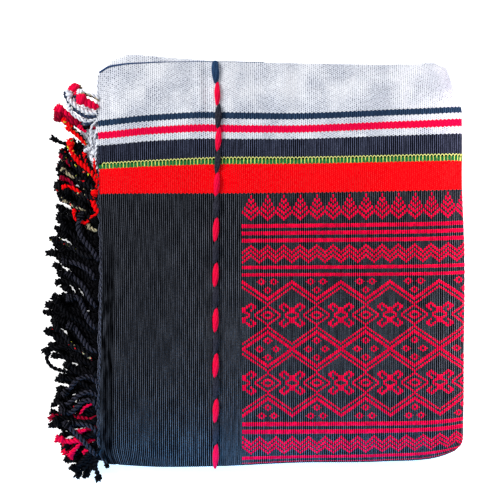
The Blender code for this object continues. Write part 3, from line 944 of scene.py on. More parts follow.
# Motifs, rib by rib from their centre: the near and the far end of each dash, counted from the middle
HOOKED_CROSS = (
    ((2.3, 7.8),),
    ((1.7, 7.8),),
    ((0.8, 3.4), (6.7, 9.6)),
    ((0.0, 2.2), (7.8, 11.3)),
    ((3.6, 5.9), (9.8, 12.4)),
    ((5.2, 11.3),),
    ((6.7, 9.8),),
)
SMALL_RING = (((1.9, 4.3),), ((1.2, 3.8),), ((0.0, 2.5),), ((0.0, 0.7),))
FLOWER = (((1.3, 3.4),), ((0.0, 2.3),), ((0.0, 0.5),))
# The rib and the middle of each flower
FLOWERS = ((12, 147.1), (8, 155.5), (16, 155.5), (9, 88.6), (15, 88.6), (12, 97.0))


def around(middle, motif, distance):
    """A motif's dashes above and below its middle, at a distance in ribs from its centre."""
    if distance >= len(motif):
        return []
    above = [(middle - far, middle - near) for near, far in motif[distance]]
    return above + [(middle + near, middle + far) for near, far in motif[distance]]


def tree_dashes(rib):
    """A tree is a stack of chevrons that widen downwards, each one rib more to both sides."""
    aside = abs(rib % TREE_REPEAT - TREE_REPEAT // 2)
    tops = [TREE_TOP + CHEVRON_STEP * n - CHEVRON_SLOPE * aside for n in range(aside, TREE_CHEVRONS)]
    return [(top, top + CHEVRON_DASH) for top in tops]


def zigzag_dashes(rib):
    """Three parallel zigzags below the border lines."""
    aside = abs(rib % TREE_REPEAT - TREE_REPEAT // 2)
    tops = [ZIGZAG_TOP + ZIGZAG_SLOPE * aside + ZIGZAG_STEP * n for n in range(ZIGZAG_LINES)]
    return [(top, top + ZIGZAG_DASH) for top in tops]


def diamond_dashes(rib):
    """The lattice of thick and thin lines, with a hooked cross, a small diamond and flowers inside."""
    place = rib % DIAMOND_REPEAT
    aside = min(place, DIAMOND_REPEAT - place)
    inward = DIAMOND_REPEAT // 2 - aside
    thick = (THICK_TOP + SLOPE * aside, FIELD_MIDDLE - SLOPE * aside)
    thin = [THIN_TOP + SLOPE * aside, THIN_FOOT - SLOPE * aside]
    if inward <= SMALL_DIAMOND_RIBS:
        thin.append(MOTIF_MIDDLE - SMALL_DIAMOND_HALF + SLOPE * inward)
        thin.append(MOTIF_MIDDLE + SMALL_DIAMOND_HALF - SLOPE * inward)
    dashes = [(middle - THICK_HALF, middle + THICK_HALF) for middle in thick]
    dashes += [(middle - THIN_HALF, middle + THIN_HALF) for middle in thin]
    dashes += around(MOTIF_MIDDLE, HOOKED_CROSS, aside)
    dashes += around(MOTIF_MIDDLE, SMALL_RING, inward)
    for centre, middle in FLOWERS:
        dashes += around(middle, FLOWER, abs(place - centre))
    return dashes


def chart(rib):
    """All dashes of one rib, mirrored into the lower half, with dashes that touch made one."""
    border = tree_dashes(rib) + list(BORDER_LINES) + zigzag_dashes(rib)
    field = diamond_dashes(rib)
    dashes = border + field + list(FIELD_LINES)
    dashes += [(BORDER_STEPS - low, BORDER_STEPS - high) for high, low in border]
    dashes += [(FIELD_STEPS - low, FIELD_STEPS - high) for high, low in field]
    dashes = sorted(dashes)
    joined = [dashes[0]]
    for top, foot in dashes[1:]:
        if top <= joined[-1][1] + 0.1:
            joined[-1] = (joined[-1][0], max(foot, joined[-1][1]))
        else:
            joined.append((top, foot))
    return joined


def pattern_floats(first_rib, last_rib, v_from=0.0, v_to=1.0):
    """u, start and end of each float between two ribs, in metres."""
    floats = []
    for rib in range(first_rib, last_rib):
        for top, foot in chart(rib - PATTERN_RIB):
            start, end = FIELD_START + top * PIXEL, FIELD_START + foot * PIXEL
            if v_from <= start and end <= v_to:
                floats.append((rib_centre(rib), start, end))
    return np.array(floats)


# %% [markdown]
# Floats as joined pillows
#
# Thousands of floats as objects would be slow, and as a texture they'd be flat. Each float is a small
# pillow of points, rounded across and dipping into the cloth at both ends, and all of them are one mesh.

# %% The pillows
FLOAT_HALF_WIDTH = 0.00096
FLOAT_RISE = 0.00042
FLOAT_DIP = 0.0005
FLOAT_ROOT = 1.2 * RIB_HEIGHT
FLOAT_END_LIFT = 0.35
FLOAT_SLIP = (0.00006, 0.00016, 0.00016)
THREADS_PER_FLOAT = 4
# The painted shade where a float dips between the ribs
SHADE_BETWEEN_FLOATS = (0.02, 0.0, 0.004, 1)


def float_finish(name, bright, deep):
    """Weft of soft threads that run down the float, with painted shade where it dips between the ribs."""
    material, shader, start = new_finish(name, 0.9, specular=0.02)
    place, u, _ = cloth_place(start)
    ribs = (u - HEADING) * (1 / RIB_PITCH)
    threads = ((u - HEADING) * (THREADS_PER_FLOAT / RIB_PITCH)).wave()
    streaks = stretched_noise(place, 1500.0, 260.0)
    share = threads * 0.25 + streaks * 0.5 + place.noise(330.0) * 0.5 - 0.2
    colour = share.between(0.05, 0.85).mix(deep, bright)
    # Painted shade at the float's sides, between the ribs, in some places only
    open_gaps = stretched_noise(place, 0.4 / RIB_PITCH, 120.0).between(0.36, 0.56)
    dip_shade = (1 - (ribs - 0.5).wave()).between(0.2, 0.75) * open_gaps
    connect((dip_shade * 0.8).mix(colour, SHADE_BETWEEN_FLOATS), shader, "Base Color")
    emboss(threads * 0.5 + streaks * 0.5, shader, 0.0002, 0.5)
    return material


def lay_floats(name, floats, finish, across, half_width=FLOAT_HALF_WIDTH, rise=FLOAT_RISE):
    """One mesh of pillows. across gives the shares of the width at which each pillow has points."""
    chance = np.random.default_rng(7)
    count = len(floats)
    moved = chance.uniform(-1, 1, (count, 3))
    u, start, end = (floats + moved * FLOAT_SLIP).T
    shares = np.array(across)
    along = np.stack([start, start + FLOAT_DIP, end - FLOAT_DIP, end], axis=1)
    lifted = np.array([0.0, 1.0, 1.0, 0.0])
    crown = np.sqrt(np.clip(1 - shares**2, 0, 1))
    low = CLOTH_THICKNESS / 2 - FLOAT_ROOT
    high = CLOTH_THICKNESS / 2 + RIB_HEIGHT + rise
    lifted = FLOAT_END_LIFT + (1 - FLOAT_END_LIFT) * lifted
    rises = low + (high - low) * crown[:, None] * lifted[None, :]
    all_u = u[:, None, None] + shares[None, :, None] * half_width + 0 * along[:, None, :]
    all_v = along[:, None, :] + 0 * all_u
    all_w = rises[None] * chance.uniform(0.96, 1.04, (count, 1, 1)) + 0 * all_u
    points = lay(all_u.ravel(), all_v.ravel(), all_w.ravel())
    numbers = np.arange(all_u.size).reshape(all_u.shape)
    corners = (numbers[:, :-1, :-1], numbers[:, :-1, 1:], numbers[:, 1:, 1:], numbers[:, 1:, :-1])
    faces = np.stack(corners, axis=-1).reshape(-1, 4)
    uv = np.stack([all_u.ravel(), all_v.ravel()], axis=1)[faces.ravel()]
    piece = make_piece(name, points, faces.tolist(), [finish], np.zeros(len(faces)), uv)
    return piece


# %% The pattern of the face
crimson_floats = float_finish("crimson_weft", tint("ff0e48"), tint("ff043c"))
face_floats = pattern_floats(PATTERN_RIB, FINE_RIBS, v_to=FINE_END_V)
face_pattern = lay_floats("pattern_of_the_face", face_floats, crimson_floats, (-1, -0.5, 0.5, 1))

# %% The pattern of the underside and of the front folds between
FOLD_OVERLAP = 0.008
UNDERSIDE_END = STRIP.turn_spans[1][0] - MARGIN
LAST_RIB = int((CLOTH_LENGTH - HEADING) / RIB_PITCH) - PATTERN_RIB
UNDERSIDE_RIBS = int((UNDERSIDE_END - HEADING) / RIB_PITCH)
under_floats = pattern_floats(FINE_RIBS, UNDERSIDE_RIBS, v_to=MIDDLE_START)
fold_floats = pattern_floats(UNDERSIDE_RIBS, LAST_RIB, FACE_END - FOLD_OVERLAP, MIDDLE_START)
hidden_floats = np.concatenate([under_floats, fold_floats])
plain_pattern = lay_floats("pattern_of_the_underside", hidden_floats, crimson_floats, (-1, 0, 1))

# %% [markdown]
# The green band's yellow threads
#
# Between the black stripe and the scarlet one runs a narrow green band. Yellow warp floats cross it as
# small bars, and a yellow thread joins their tops in a zigzag. The bars are pillows like the red floats.
# The thread could be a curve with a bevel, but the cords need tubes by the hundred, so one helper makes
# them all.

# %% Tubes, gathered into one mesh
def frames_along(path):
    """The direction and two sideways directions at each point of a path."""
    along = np.gradient(path, axis=0)
    along /= np.linalg.norm(along, axis=1)[:, None]
    out = np.empty_like(path)
    first = np.cross(along[0], (0.0, 0.0, 1.0))
    if np.linalg.norm(first) < 1e-3:
        first = np.cross(along[0], (0.0, 1.0, 0.0))
    out[0] = first / np.linalg.norm(first)
    for i in range(1, len(path)):
        turned = out[i - 1] - (out[i - 1] @ along[i]) * along[i]
        out[i] = turned / np.linalg.norm(turned)
    return along, out, np.cross(along, out)


LEAST_HEIGHT = 0.0002


class Bundle:
    """Tubes that are joined into one piece. Their UV is the length in metres and the share around."""

    def __init__(self):
        self.points = []
        self.faces = []
        self.worn = []
        self.uv = []
        self.count = 0

    def tube(self, path, radii, sides, wears, frame_of_path=None):
        """A closed tube along a path. wears is one material, or one for each stretch of the path."""
        along, out, side = frame_of_path or frames_along(path)
        steps = len(path)
        angle = np.arange(sides) * math.tau / sides
        radii = np.broadcast_to(radii, steps)[:, None, None]
        outward = np.cos(angle)[None, :, None] * out[:, None, :]
        sideways = np.sin(angle)[None, :, None] * side[:, None, :]
        points = path[:, None, :] + (outward + sideways) * radii
        points[..., 2] = np.maximum(points[..., 2], LEAST_HEIGHT)
        numbers = self.count + np.arange(steps * sides).reshape(steps, sides)
        self.count += steps * sides
        after = np.roll(numbers, -1, axis=1)
        quads = np.stack([numbers[:-1], after[:-1], after[1:], numbers[1:]], axis=-1).reshape(-1, 4)
        length = np.concatenate([[0], np.cumsum(np.linalg.norm(np.diff(path, axis=0), axis=1))])
        near = np.broadcast_to(length[:-1, None], (steps - 1, sides))
        far = np.broadcast_to(length[1:, None], (steps - 1, sides))
        left = np.broadcast_to(np.arange(sides) / sides, (steps - 1, sides))
        right = left + 1 / sides
        corners = np.stack([near, left, near, right, far, right, far, left], axis=-1).reshape(-1, 2)
        caps = [numbers[0, ::-1].tolist(), numbers[-1].tolist()]
        self.points.append(points.reshape(-1, 3))
        stretches = np.broadcast_to(wears, steps - 1)
        self.faces += quads.tolist() + caps
        self.worn += [*np.repeat(stretches, sides).tolist(), int(stretches[0]), int(stretches[-1])]
        self.uv += [corners, np.zeros((sides, 2)), np.zeros((sides, 2))]

    def finish(self, name, materials, slot):
        """Makes the piece."""
        points = np.concatenate(self.points)
        piece = make_piece(name, points, self.faces, materials, self.worn, np.concatenate(self.uv))
        return piece


# %% [markdown]
# Spun thread
#
# Spun cotton has fibres that wind round it, patches where the dye took more, and a soft sheen on its
# outer side, which on the cords is painted into the colour as a highlight. Hair or fur would draw each
# fibre, but it couldn't be exported. Every tube here carries its own length and turn as UV, so a few
# waves and some noise over them look like fibres that wind round the thread.

# %% The finish of threads, yarn and cords
FIBRE_TURNS = 340.0
FLECK_STEP = 0.31


def thread_finish(name, bright, deep, roughness=0.8, fibres=5, flecks=(), specular=0.12, crest_highlight=0.0):
    """Spun cotton: fibres wind round the thread, with light and dark patches and sometimes flecks.

    The last setting paints a highlight on the side of each ply that faces out, where the light falls.
    """
    material, shader, start = new_finish(name, roughness, specular=specular)
    _, length, turn = cloth_place(start)
    wound = (turn * fibres + length * FIBRE_TURNS).wave()
    # A painted highlight on the side of each ply that faces out, where the light falls
    outer_highlight = turn.wave().between(0.25, 1.0)
    spot = start.node("ShaderNodeTexCoord", output=3)
    fuzz = spot.noise(2600.0)
    share = (wound * 0.3 + spot.noise(420.0) * 0.45 + fuzz * 0.45 - 0.15).between(0.1, 0.85)
    colour = (share * (outer_highlight * crest_highlight + (1 - crest_highlight))).mix(deep, bright)
    for fleck, (colour_of, level) in enumerate(flecks):
        shift = {0: spot, 1: (FLECK_STEP * fleck, 0.17, 0.0)}
        seed = spot.node("ShaderNodeVectorMath", {"operation": "ADD"}, shift)
        marks = seed.noise(230.0, 1.0).between(level - 0.03, level)
        colour = marks.mix(colour, colour_of)
    connect(colour, shader, "Base Color")
    emboss(wound * 0.6 + fuzz * 0.4, shader, 0.0002)
    return material


# %% The bars of the green band
BAR_PITCH = 3.56 * PIXEL
BAR_TOP = 0.1014
BAR_FOOT = 0.1070
BAND_START = 0.004
BAND_END = 0.425
BAR_HALF_WIDTH = 0.00075
BAR_RISE = 0.0004
ARCH_HEIGHT = 0.0019
ARCH_RADIUS = 0.00042
yellow_weft = float_finish("yellow_weft", tint("f4ff9a"), tint("c3c62c"))
bar_places = np.arange(BAND_START, BAND_END, BAR_PITCH)
under_places = np.arange(BAND_END, UNDERSIDE_END, BAR_PITCH)
all_places = np.concatenate([bar_places, under_places])
bars = np.stack([all_places, 0 * all_places + BAR_TOP, 0 * all_places + BAR_FOOT], axis=1)
lay_floats("yellow_bars", bars, yellow_weft, (-1, 0, 1), BAR_HALF_WIDTH, BAR_RISE)

# %% The zigzag
yellow_thread = thread_finish("yellow_thread", tint("fbffb0"), tint("dfe060"))
zigzag = Bundle()
arch = np.linspace(0, 1, 6)
for u in bar_places[:-1]:
    arch_u = u + arch * BAR_PITCH
    arch_v = BAR_TOP + 0.0003 - ARCH_HEIGHT * np.sin(math.pi * arch)
    zigzag.tube(lay(arch_u, arch_v, CLOTH_THICKNESS / 2 + 0.0006), ARCH_RADIUS, 5, 0)
zigzag.finish("yellow_zigzag", [yellow_thread], "cloth")

# %% [markdown]
# Weft turns at the selvage
#
# Where a dark weft pick turns at the selvage, it shows as a dark stitch on the white edge. Near the warp
# end the stitches are thick and close, and further on they are thin dots. A dotted line in the material
# would lie flat and blur, so each stitch is a short tube that bows over the edge.

# %% The selvage stitches
SELVAGE_REACH = 0.172
FIRST_STITCH = 0.0016
STITCH_RADIUS = 0.00130
STITCH_PROFILE = np.array([0.5, 0.9, 1, 0.9, 0.5])
# u of a stitch, and how far it has slimmed there from a thick stitch to a dot
STITCH_SLIMMING = ((0.012, 0.026, 0.062, 0.076), (0.0, 0.25, 0.7, 1.0))
selvage = Bundle()
navy_thread = thread_finish("navy_thread", tint("3d5c8c"), tint("16233f"))
for u in np.arange(FIRST_STITCH, SELVAGE_REACH, RIB_PITCH):
    slim = float(np.interp(u, *STITCH_SLIMMING))
    half = 0.0013 - 0.0005 * slim
    bow = np.linspace(-1, 1, 5)
    path = lay(u + bow * half, 0.0002 + 0.0003 * bow**2, CLOTH_THICKNESS * (0.38 - 0.12 * bow**2))
    selvage.tube(path, STITCH_PROFILE * (STITCH_RADIUS - STITCH_RADIUS / 2 * slim), 6, 0)
selvage.finish("selvage_stitches", [navy_thread], "cloth")

# %% [markdown]
# The twined yarn
#
# A heavy yarn is twined across the face, one red bundle and one dark bundle that change places at every
# stitch. Each stitch shows as a spindle: fat in the middle, and thin where it dives under the next one.
# One long tube with swellings would look like a string of beads. A spindle is a bundle of strands that
# bulges, so each is made of five strands round a core.

# %% Spindles
YARN_ENDS = (-0.0015, (FACE_END + MIDDLE_START) / 2)
YARN_STITCHES = 18
YARN_STRANDS = 5
YARN_TILT = 0.0011
YARN_START_PIXEL = 62.0
STITCH_OVERLAP = (0.0012, 0.0014)
FIRST_STITCH_WIDTH = 0.0086
RED_WIDTHS = (0.0063, 0.0070)
DARK_WIDTHS = (0.0064, 0.0075)
# The yarn's places in the photograph: pixels down, pixels across
YARN_LINE = (
    (60, 213.6),
    (83, 216.2),
    (129, 218.4),
    (181, 217.0),
    (266, 215.6),
    (360, 215.4),
    (467, 215.8),
)
yarn_red = thread_finish("red_yarn", tint("ff1048"), tint("c00028"), 0.8, 6, specular=0.05)
yarn_dark = thread_finish("dark_yarn", tint("3d3d4a"), tint("060609"), 0.8, 6, specular=0.05)
yarn_navy = thread_finish("navy_yarn", tint("35547c"), tint("0c1a30"), 0.8, 6, specular=0.05)
YARN_FINISHES = [yarn_red, yarn_dark, yarn_navy]


def spindle(bundle, start, end, width, wears, chance):
    """One stitch of the yarn, from start to end down the cloth."""
    share = np.linspace(0, 1, 15)
    v = start + (end - start) * share
    bulge = np.sin(math.pi * share) ** 0.62
    centre = yarn_u(v) + YARN_TILT * (share - 0.5) * -1.6
    lift = CLOTH_THICKNESS / 2 + 0.0012 + 0.0010 * bulge
    bundle.tube(lay(centre, v, lift), width * (0.10 + 0.22 * bulge), 8, wears)
    for strand in range(YARN_STRANDS):
        angle = math.tau * strand / YARN_STRANDS + 1.9 * share + chance.uniform(-0.2, 0.2)
        reach = width * 0.29 * bulge
        path = lay(centre + reach * np.cos(angle), v, lift + 0.55 * reach * np.sin(angle))
        bundle.tube(path, width * (0.07 + 0.15 * bulge), 7, wears)


def yarn_u(v):
    """Where the yarn's line runs, read from its places down the photograph."""
    down, across = zip(*YARN_LINE)
    places_v = (np.array(down) - YARN_START_PIXEL) * PIXEL
    return curve_through(v, places_v, (np.array(across) - PHOTO_MIDDLE[0]) * PIXEL + HALF_WIDTH)


def make_yarn():
    """All stitches: the odd ones are red, and the first one is navy and fatter, as in the photograph."""
    bundle = Bundle()
    chance = random.Random(3)
    step = (YARN_ENDS[1] - YARN_ENDS[0]) / YARN_STITCHES
    before, after = STITCH_OVERLAP
    for number in range(YARN_STITCHES):
        start = YARN_ENDS[0] + number * step
        red = number % 2 == 1
        width = chance.uniform(*(RED_WIDTHS if red else DARK_WIDTHS))
        if number == 0:
            width = FIRST_STITCH_WIDTH
        wears = YARN_FINISHES.index(yarn_red if red else yarn_navy if number == 0 else yarn_dark)
        spindle(bundle, start - before, start + step + after, width, wears, chance)
    return bundle.finish("twined_yarn_bundles", YARN_FINISHES, "yarn")


yarn = make_yarn()
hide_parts("twined_yarn")

# %% [markdown]
# The fringe
#
# Beyond the last pick the warp ends are twined off, and twisted in pairs into cords about 6 mm thick,
# each knotted and left to fray at its end. A hair system could scatter threads, but a twisted cord is
# two plies that wind round each other, so each ply is a tube on a helix round the cord's own line. A
# cord has the colours of the stripe that it grows from.

# %% Sizes and colours of the cords
CORD_RADIUS = 0.0030
PLY_RADIUS = 0.00165
PLY_OFFSET = 0.0014
TWIST_PITCH = 0.0100
CORD_STEPS = 40
SCATTERED_STEPS = 32
TUFT_FIBRES = 14
# Shares of the cord's thickness at these lengths from its root, and at its end
CORD_TAPER_AT = (0, 0.004, 0.010)
CORD_TAPER = (0.6, 0.88, 1.0, 0.9)

# %% The finishes of the cords
YELLOW = tint("d8dc3a")
GREEN = tint("1f9a5a")
CREAM = tint("e9e6da")
BEIGE = tint("b5ab88")
SLATE = tint("2f3a58")
INK = tint("0a0a0c")
SCARLET = tint("e00818")
JET = tint("000001")
FLECKS_OF_THE_SCARLET = ((YELLOW, 0.71), (GREEN, 0.74))
FLECKS_OF_THE_BLACK = ((BEIGE, 0.73), (YELLOW, 0.75), (SCARLET, 0.73))
# Columns: the light colour, the dark one, and what else the finish of that cord sets
CORD_COLOURS = {
    "white": (tint("fbfbfd"), tint("ccd0dc"), {"flecks": ((SLATE, 0.7),), "crest_highlight": 0.5}),
    "navy": (tint("4d5f84"), tint("0b1120"), {"flecks": ((CREAM, 0.66),), "crest_highlight": 0.5}),
    "crimson": (tint("ff0a4a"), tint("c80030"), {"specular": 0.05, "crest_highlight": 0.3}),
    # The darker red is a shaded copy of the red cords: it paints the shade on cords deeper in the fringe
    "shaded_red": (tint("c00434"), tint("4a0012"), {"specular": 0.05, "crest_highlight": 0.4}),
    "scarlet": (tint("ff0c10"), tint("d00008"), {"flecks": FLECKS_OF_THE_SCARLET, "specular": 0.05}),
    # The next two are one black cord: the first is for cords in shade, the second has painted highlights
    "black": (tint("15151a"), JET, {"roughness": 0.6, "specular": 0.03, "crest_highlight": 0.8}),
    "highlit_black": (tint("424250"), JET, {"roughness": 0.6, "specular": 0.03, "crest_highlight": 1.0}),
    "flecked": (
        tint("24242a"),
        JET,
        {"roughness": 0.6, "flecks": FLECKS_OF_THE_BLACK, "specular": 0.03, "crest_highlight": 0.8},
    ),
    "slate": (tint("787c90"), tint("06060a"), {"crest_highlight": 0.6}),
    "beige": (tint("d0c6a4"), tint("6a614a"), {"flecks": ((INK, 0.58),), "crest_highlight": 0.4}),
}
CORD_FINISHES = {
    name: thread_finish(f"{name}_cord", light, dark, **settings)
    for name, (light, dark, settings) in CORD_COLOURS.items()
}
CORD_ORDER = list(CORD_FINISHES)
EDGE_DARK = CORD_ORDER.index("slate")
EDGE_PALE = CORD_ORDER.index("white")
CORD_OF_STRIPE = {"green": "flecked", "dark": "flecked", "ink": "black"}


def cord_colour(v):
    """The colour of a cord that grows from this place of the warp end."""
    stripe = STRIPES[int(np.searchsorted(STRIPE_ENDS, v))][1]
    # Scarlet cords of the lower layers take the darker red finish, which paints their shade
    if stripe == "scarlet" and v > FACE_END:
        return "shaded_red"
    return CORD_OF_STRIPE.get(stripe, stripe)


# %% A twisted cord
KNOT_TURNS = 2.1
KNOT_LENGTH = 0.0052
KNOT_PLY = 0.0017
KNOT_SIZE = 0.95
QUARTER_TURN = 1.57
FIBRE_RADII = np.array([0.0009, 0.00105, 0.0010, 0.00085, 0.0004])
FIBRE_FLOOR = 0.0010


def cord(bundle, path, wears, chance, tuft=0.005, thick=1.0, fibres=TUFT_FIBRES, spread=0.55):
    """Two plies round a line, a knot near its end and a frayed tuft."""
    along, out, side = frames_along(path)
    length = np.concatenate([[0], np.cumsum(np.linalg.norm(np.diff(path, axis=0), axis=1))])
    turn = length / TWIST_PITCH * math.tau + chance.uniform(0, math.tau)
    slim = np.interp(length, [*CORD_TAPER_AT, length[-1]], CORD_TAPER) * thick
    for ply in range(2):
        angle = turn + math.pi * ply
        radial = np.cos(angle)[:, None] * out + np.sin(angle)[:, None] * side
        line = path + radial * (PLY_OFFSET * slim)[:, None]
        tangent = np.gradient(line, axis=0)
        tangent /= np.linalg.norm(tangent, axis=1)[:, None]
        cross = np.cross(tangent, radial)
        cross /= np.linalg.norm(cross, axis=1)[:, None]
        bundle.tube(line, PLY_RADIUS * slim, 6, wears, (tangent, np.cross(cross, tangent), cross))
    knot(bundle, path[-2], along[-2], out[-2], side[-2], wears, thick)
    fray(bundle, path[-1], along[-1], out[-1], side[-1], wears, chance, tuft, fibres, spread)


def knot(bundle, middle, along, out, side, wears, thick):
    """Two turns of a ply round the cord, fat enough to make a ball."""
    share = np.linspace(0, 1, 19)
    angle = share * math.tau * KNOT_TURNS
    ring = np.cos(angle)[:, None] * out + np.sin(angle)[:, None] * side
    bulge = 0.55 + 0.45 * np.sin(math.pi * share)
    around_cord = ring * (CORD_RADIUS * KNOT_SIZE * thick * bulge)[:, None]
    path = middle + around_cord + along * ((share - 0.5) * KNOT_LENGTH)[:, None]
    bundle.tube(path, KNOT_PLY * thick, 6, wears)


def fray(bundle, middle, along, out, side, wears, chance, reach, fibres, spread):
    """Loose ends that spread from the cord's end, most of them in clumps."""
    share = np.linspace(0, 1, 5)
    for _ in range(fibres):
        around_end = chance.uniform(0, math.tau)
        open_by = chance.uniform(0.05, spread)
        curl = chance.uniform(-0.35, 0.35)
        radial = math.cos(around_end) * out + math.sin(around_end) * side
        beside = around_end + QUARTER_TURN
        across = math.cos(beside) * out + math.sin(beside) * side
        length = reach * chance.uniform(0.65, 1.05)
        forward = along * (share * length * (1 - 0.45 * open_by**2))[:, None]
        sideways = radial * (0.0010 + length * open_by * share)[:, None]
        path = middle + forward + sideways + across * (length * curl * share**2)[:, None]
        path[:, 2] = np.maximum(path[:, 2], FIBRE_FLOOR)
        bundle.tube(path, FIBRE_RADII, 5, wears)


def lying_path(root, heading, length, bend, tip_height, chance, wobble=0.26):
    """A cord's line: straight out of the edge, then swinging to its heading and sinking to its rest."""
    share = np.linspace(0, 1, SCATTERED_STEPS)
    settle = np.clip(share / 0.22, 0, 1) ** 1.5
    swing = wobble * np.sin(math.tau * (share * chance.uniform(0.8, 1.5) + chance.random()))
    angle = (heading + bend * share + swing) * settle
    step = length / (SCATTERED_STEPS - 1)
    x = root[0] - np.cumsum(np.cos(angle)) * step
    y = root[1] + np.cumsum(np.sin(angle)) * step
    lift = 0.0012 * np.sin(math.tau * (share * 1.3 + chance.random())) * share
    z = tip_height + (root[2] - tip_height) * (1 + np.cos(math.pi * share**0.9)) / 2 + lift
    return np.stack([x, y, np.maximum(z, CORD_RADIUS)], axis=1)


# %% [markdown]
# Where the cords lie
#
# From the twined edge the cords swing up towards the back, and below the front corner they hang down.
# The table gives that heading along the edge. The cords of each of the six layers come to rest a little
# lower than those of the layer above.

# %% The layers of cords
# Columns: y of the root in mm, heading towards the back in degrees, share of the full length
HEADING_AT_Y = (
    (-212, -84, 0.40),
    (-200, -66, 0.55),
    (-184, -28, 0.70),
    (-165, 6, 0.85),
    (-140, 12, 0.74),
    (-120, 20, 0.70),
    (-100, 34, 0.98),
    (-60, 40, 1.08),
    (-40, 46, 0.85),
    (0, 44, 0.94),
    (20, 46, 0.88),
    (60, 48, 0.85),
    (86, 54, 0.85),
    (94, 50, 0.36),
    (150, 44, 0.32),
    (200, 12, 0.3),
)
CORD_LENGTH = 0.052
EDGE_OUT = 0.0022
# Columns: piece, end of the cloth, layer, cords, height where their tips rest, y of the first and last
# root in mm
CORD_LAYERS = (
    ("fringe_upper_face", 0, "face", 9, 0.0225, (-200, 60)),
    ("fringe_upper_middle", 0, "middle", 44, 0.0170, (-206, 150)),
    ("fringe_upper_under", 0, "under", 44, 0.0140, (-204, 150)),
    ("fringe_lower_under", 1, "under", 42, 0.0105, (-204, 165)),
    ("fringe_lower_middle", 1, "middle", 42, 0.0070, (-204, 165)),
    ("fringe_lower_face", 1, "face", 42, 0.0036, (-204, 160)),
)
LAYER_LINES = {
    "face": (0.0, FACE_END, FACE_SELVAGE_Y, -1),
    "middle": (MIDDLE_START, MIDDLE_END, FRONT_FOLD_Y, 1),
    "under": (UNDER_START, CLOTH_WIDTH, BACK_FOLD_Y, -1),
}


def outside(end, distance):
    """u at a distance outside one of the two warp ends."""
    return -distance if end == 0 else CLOTH_LENGTH + distance


def root_place(end, layer, y):
    """v and the place in the frame of a root on one layer, a little outside the warp end."""
    start, _, start_y, way = LAYER_LINES[layer]
    v = start + (y - start_y) * way
    u = outside(end, EDGE_OUT)
    return v, lay(np.array([u]), np.array([v]), np.array([0.0]))[0]


# %% The twined edge and the threads that it gathers
EDGE_INSET = 0.003
EDGE_STEP = 0.0014
EDGE_TWIST = 0.0115
EDGE_PLY = 0.00075
EDGE_PLY_OFFSET = 0.0009
GATHERED = (-0.0055, -0.0033, -0.0011, 0.0011, 0.0033, 0.0055)
GATHERED_RADII = np.array([0.0008, 0.0009, 0.0010, 0.0010, 0.0007])
EDGE_THREADS_START = 0.140
EDGE_THREADS_END = 0.405
EDGE_THREADS_STEP = 0.0135


def twined_edge(bundle, end, layer):
    """The pair of threads that is twined along the warp end and holds the last pick."""
    start, finish, _, _ = LAYER_LINES[layer]
    v = np.arange(start + EDGE_INSET, finish - EDGE_INSET, EDGE_STEP)
    u = outside(end, EDGE_PLY_OFFSET)
    turn = v / EDGE_TWIST * math.tau
    stripe_names = [STRIPES[number][1] for number in np.searchsorted(STRIPE_ENDS, v[:-1])]
    wears = [EDGE_PALE if name == "white" else EDGE_DARK for name in stripe_names]
    for ply in range(2):
        path = lay(u, v, EDGE_PLY_OFFSET * np.cos(turn + math.pi * ply))
        path[:, 0] += 0.0006 * np.sin(turn + math.pi * ply)
        bundle.tube(path, EDGE_PLY, 5, wears)


def edge_threads(bundle, chance):
    """Warp threads that bow out from the face's edge before they are drawn into a cord."""
    share = np.linspace(0, 1, 11)
    for start in np.arange(EDGE_THREADS_START, EDGE_THREADS_END, EDGE_THREADS_STEP):
        length = chance.uniform(0.013, 0.026)
        reach = chance.uniform(0.0012, 0.0026)
        v = start + length * share
        u = -0.0008 - reach * np.sin(math.pi * share**1.25)
        path = lay(u, v, CLOTH_THICKNESS * (0.1 + 0.5 * np.sin(math.pi * share)))
        radii = np.interp(share, (0, 0.2, 0.8, 1), (0.0002, 0.00052, 0.00052, 0.0002))
        bundle.tube(path, radii, 5, EDGE_DARK)


def gather(bundle, end, layer, v, path, wears, chance):
    """Loose warp threads that run from the twined edge into the cord."""
    start, finish, _, _ = LAYER_LINES[layer]
    u = outside(end, 0.0012)
    target = path[5]
    share = np.linspace(0, 1, 5)[:, None]
    for offset in GATHERED:
        place = min(max(v + offset + chance.uniform(-0.0005, 0.0005), start + 0.002), finish - 0.002)
        root = lay(np.array([u]), np.array([place]), np.array([0.0]))[0]
        line = root * (1 - share) + target * share
        line[:, 2] += 0.0008 * np.sin(math.pi * share[:, 0])
        bundle.tube(line, GATHERED_RADII, 4, wears)


# %% The scattered cords
def random_cords(bundle, row, chance):
    """The cords of one layer, each with its own small differences."""
    _, end, layer, count, tip_height, (low_y, high_y) = row
    places, headings, reaches = zip(*HEADING_AT_Y)
    for number in range(count):
        y_mm = low_y + (high_y - low_y) * (number + 0.5 + chance.uniform(-0.3, 0.3)) / count
        v, root = root_place(end, layer, y_mm / 1000)
        heading = math.radians(np.interp(y_mm, places, headings) + chance.gauss(0, 11))
        length = CORD_LENGTH * np.interp(y_mm, places, reaches) * chance.uniform(0.86, 1.12)
        bend = math.radians(chance.gauss(0, 22))
        tip = tip_height * chance.uniform(0.8, 1.2)
        path = lying_path(root, heading, length, bend, tip, chance)
        wears = CORD_ORDER.index(cord_colour(v))
        cord(bundle, path, wears, chance, tuft=chance.uniform(0.004, 0.006))
        gather(bundle, end, layer, v, path, wears, chance)


# %% [markdown]
# The cords that lie on top
#
# Most cords are scattered, but the topmost ones lie in curls that the eye follows one by one, so these
# are listed, each on a smooth curve through a few places of the photograph. Random headings alone would
# give a fringe of the right kind, but not this one. Along the edge of the black field a few warp threads
# also bow out before they are drawn into a cord.

# %% Listed cords
CORD_START_HEIGHT = 0.0325
LEVEL_REACH = 0.03
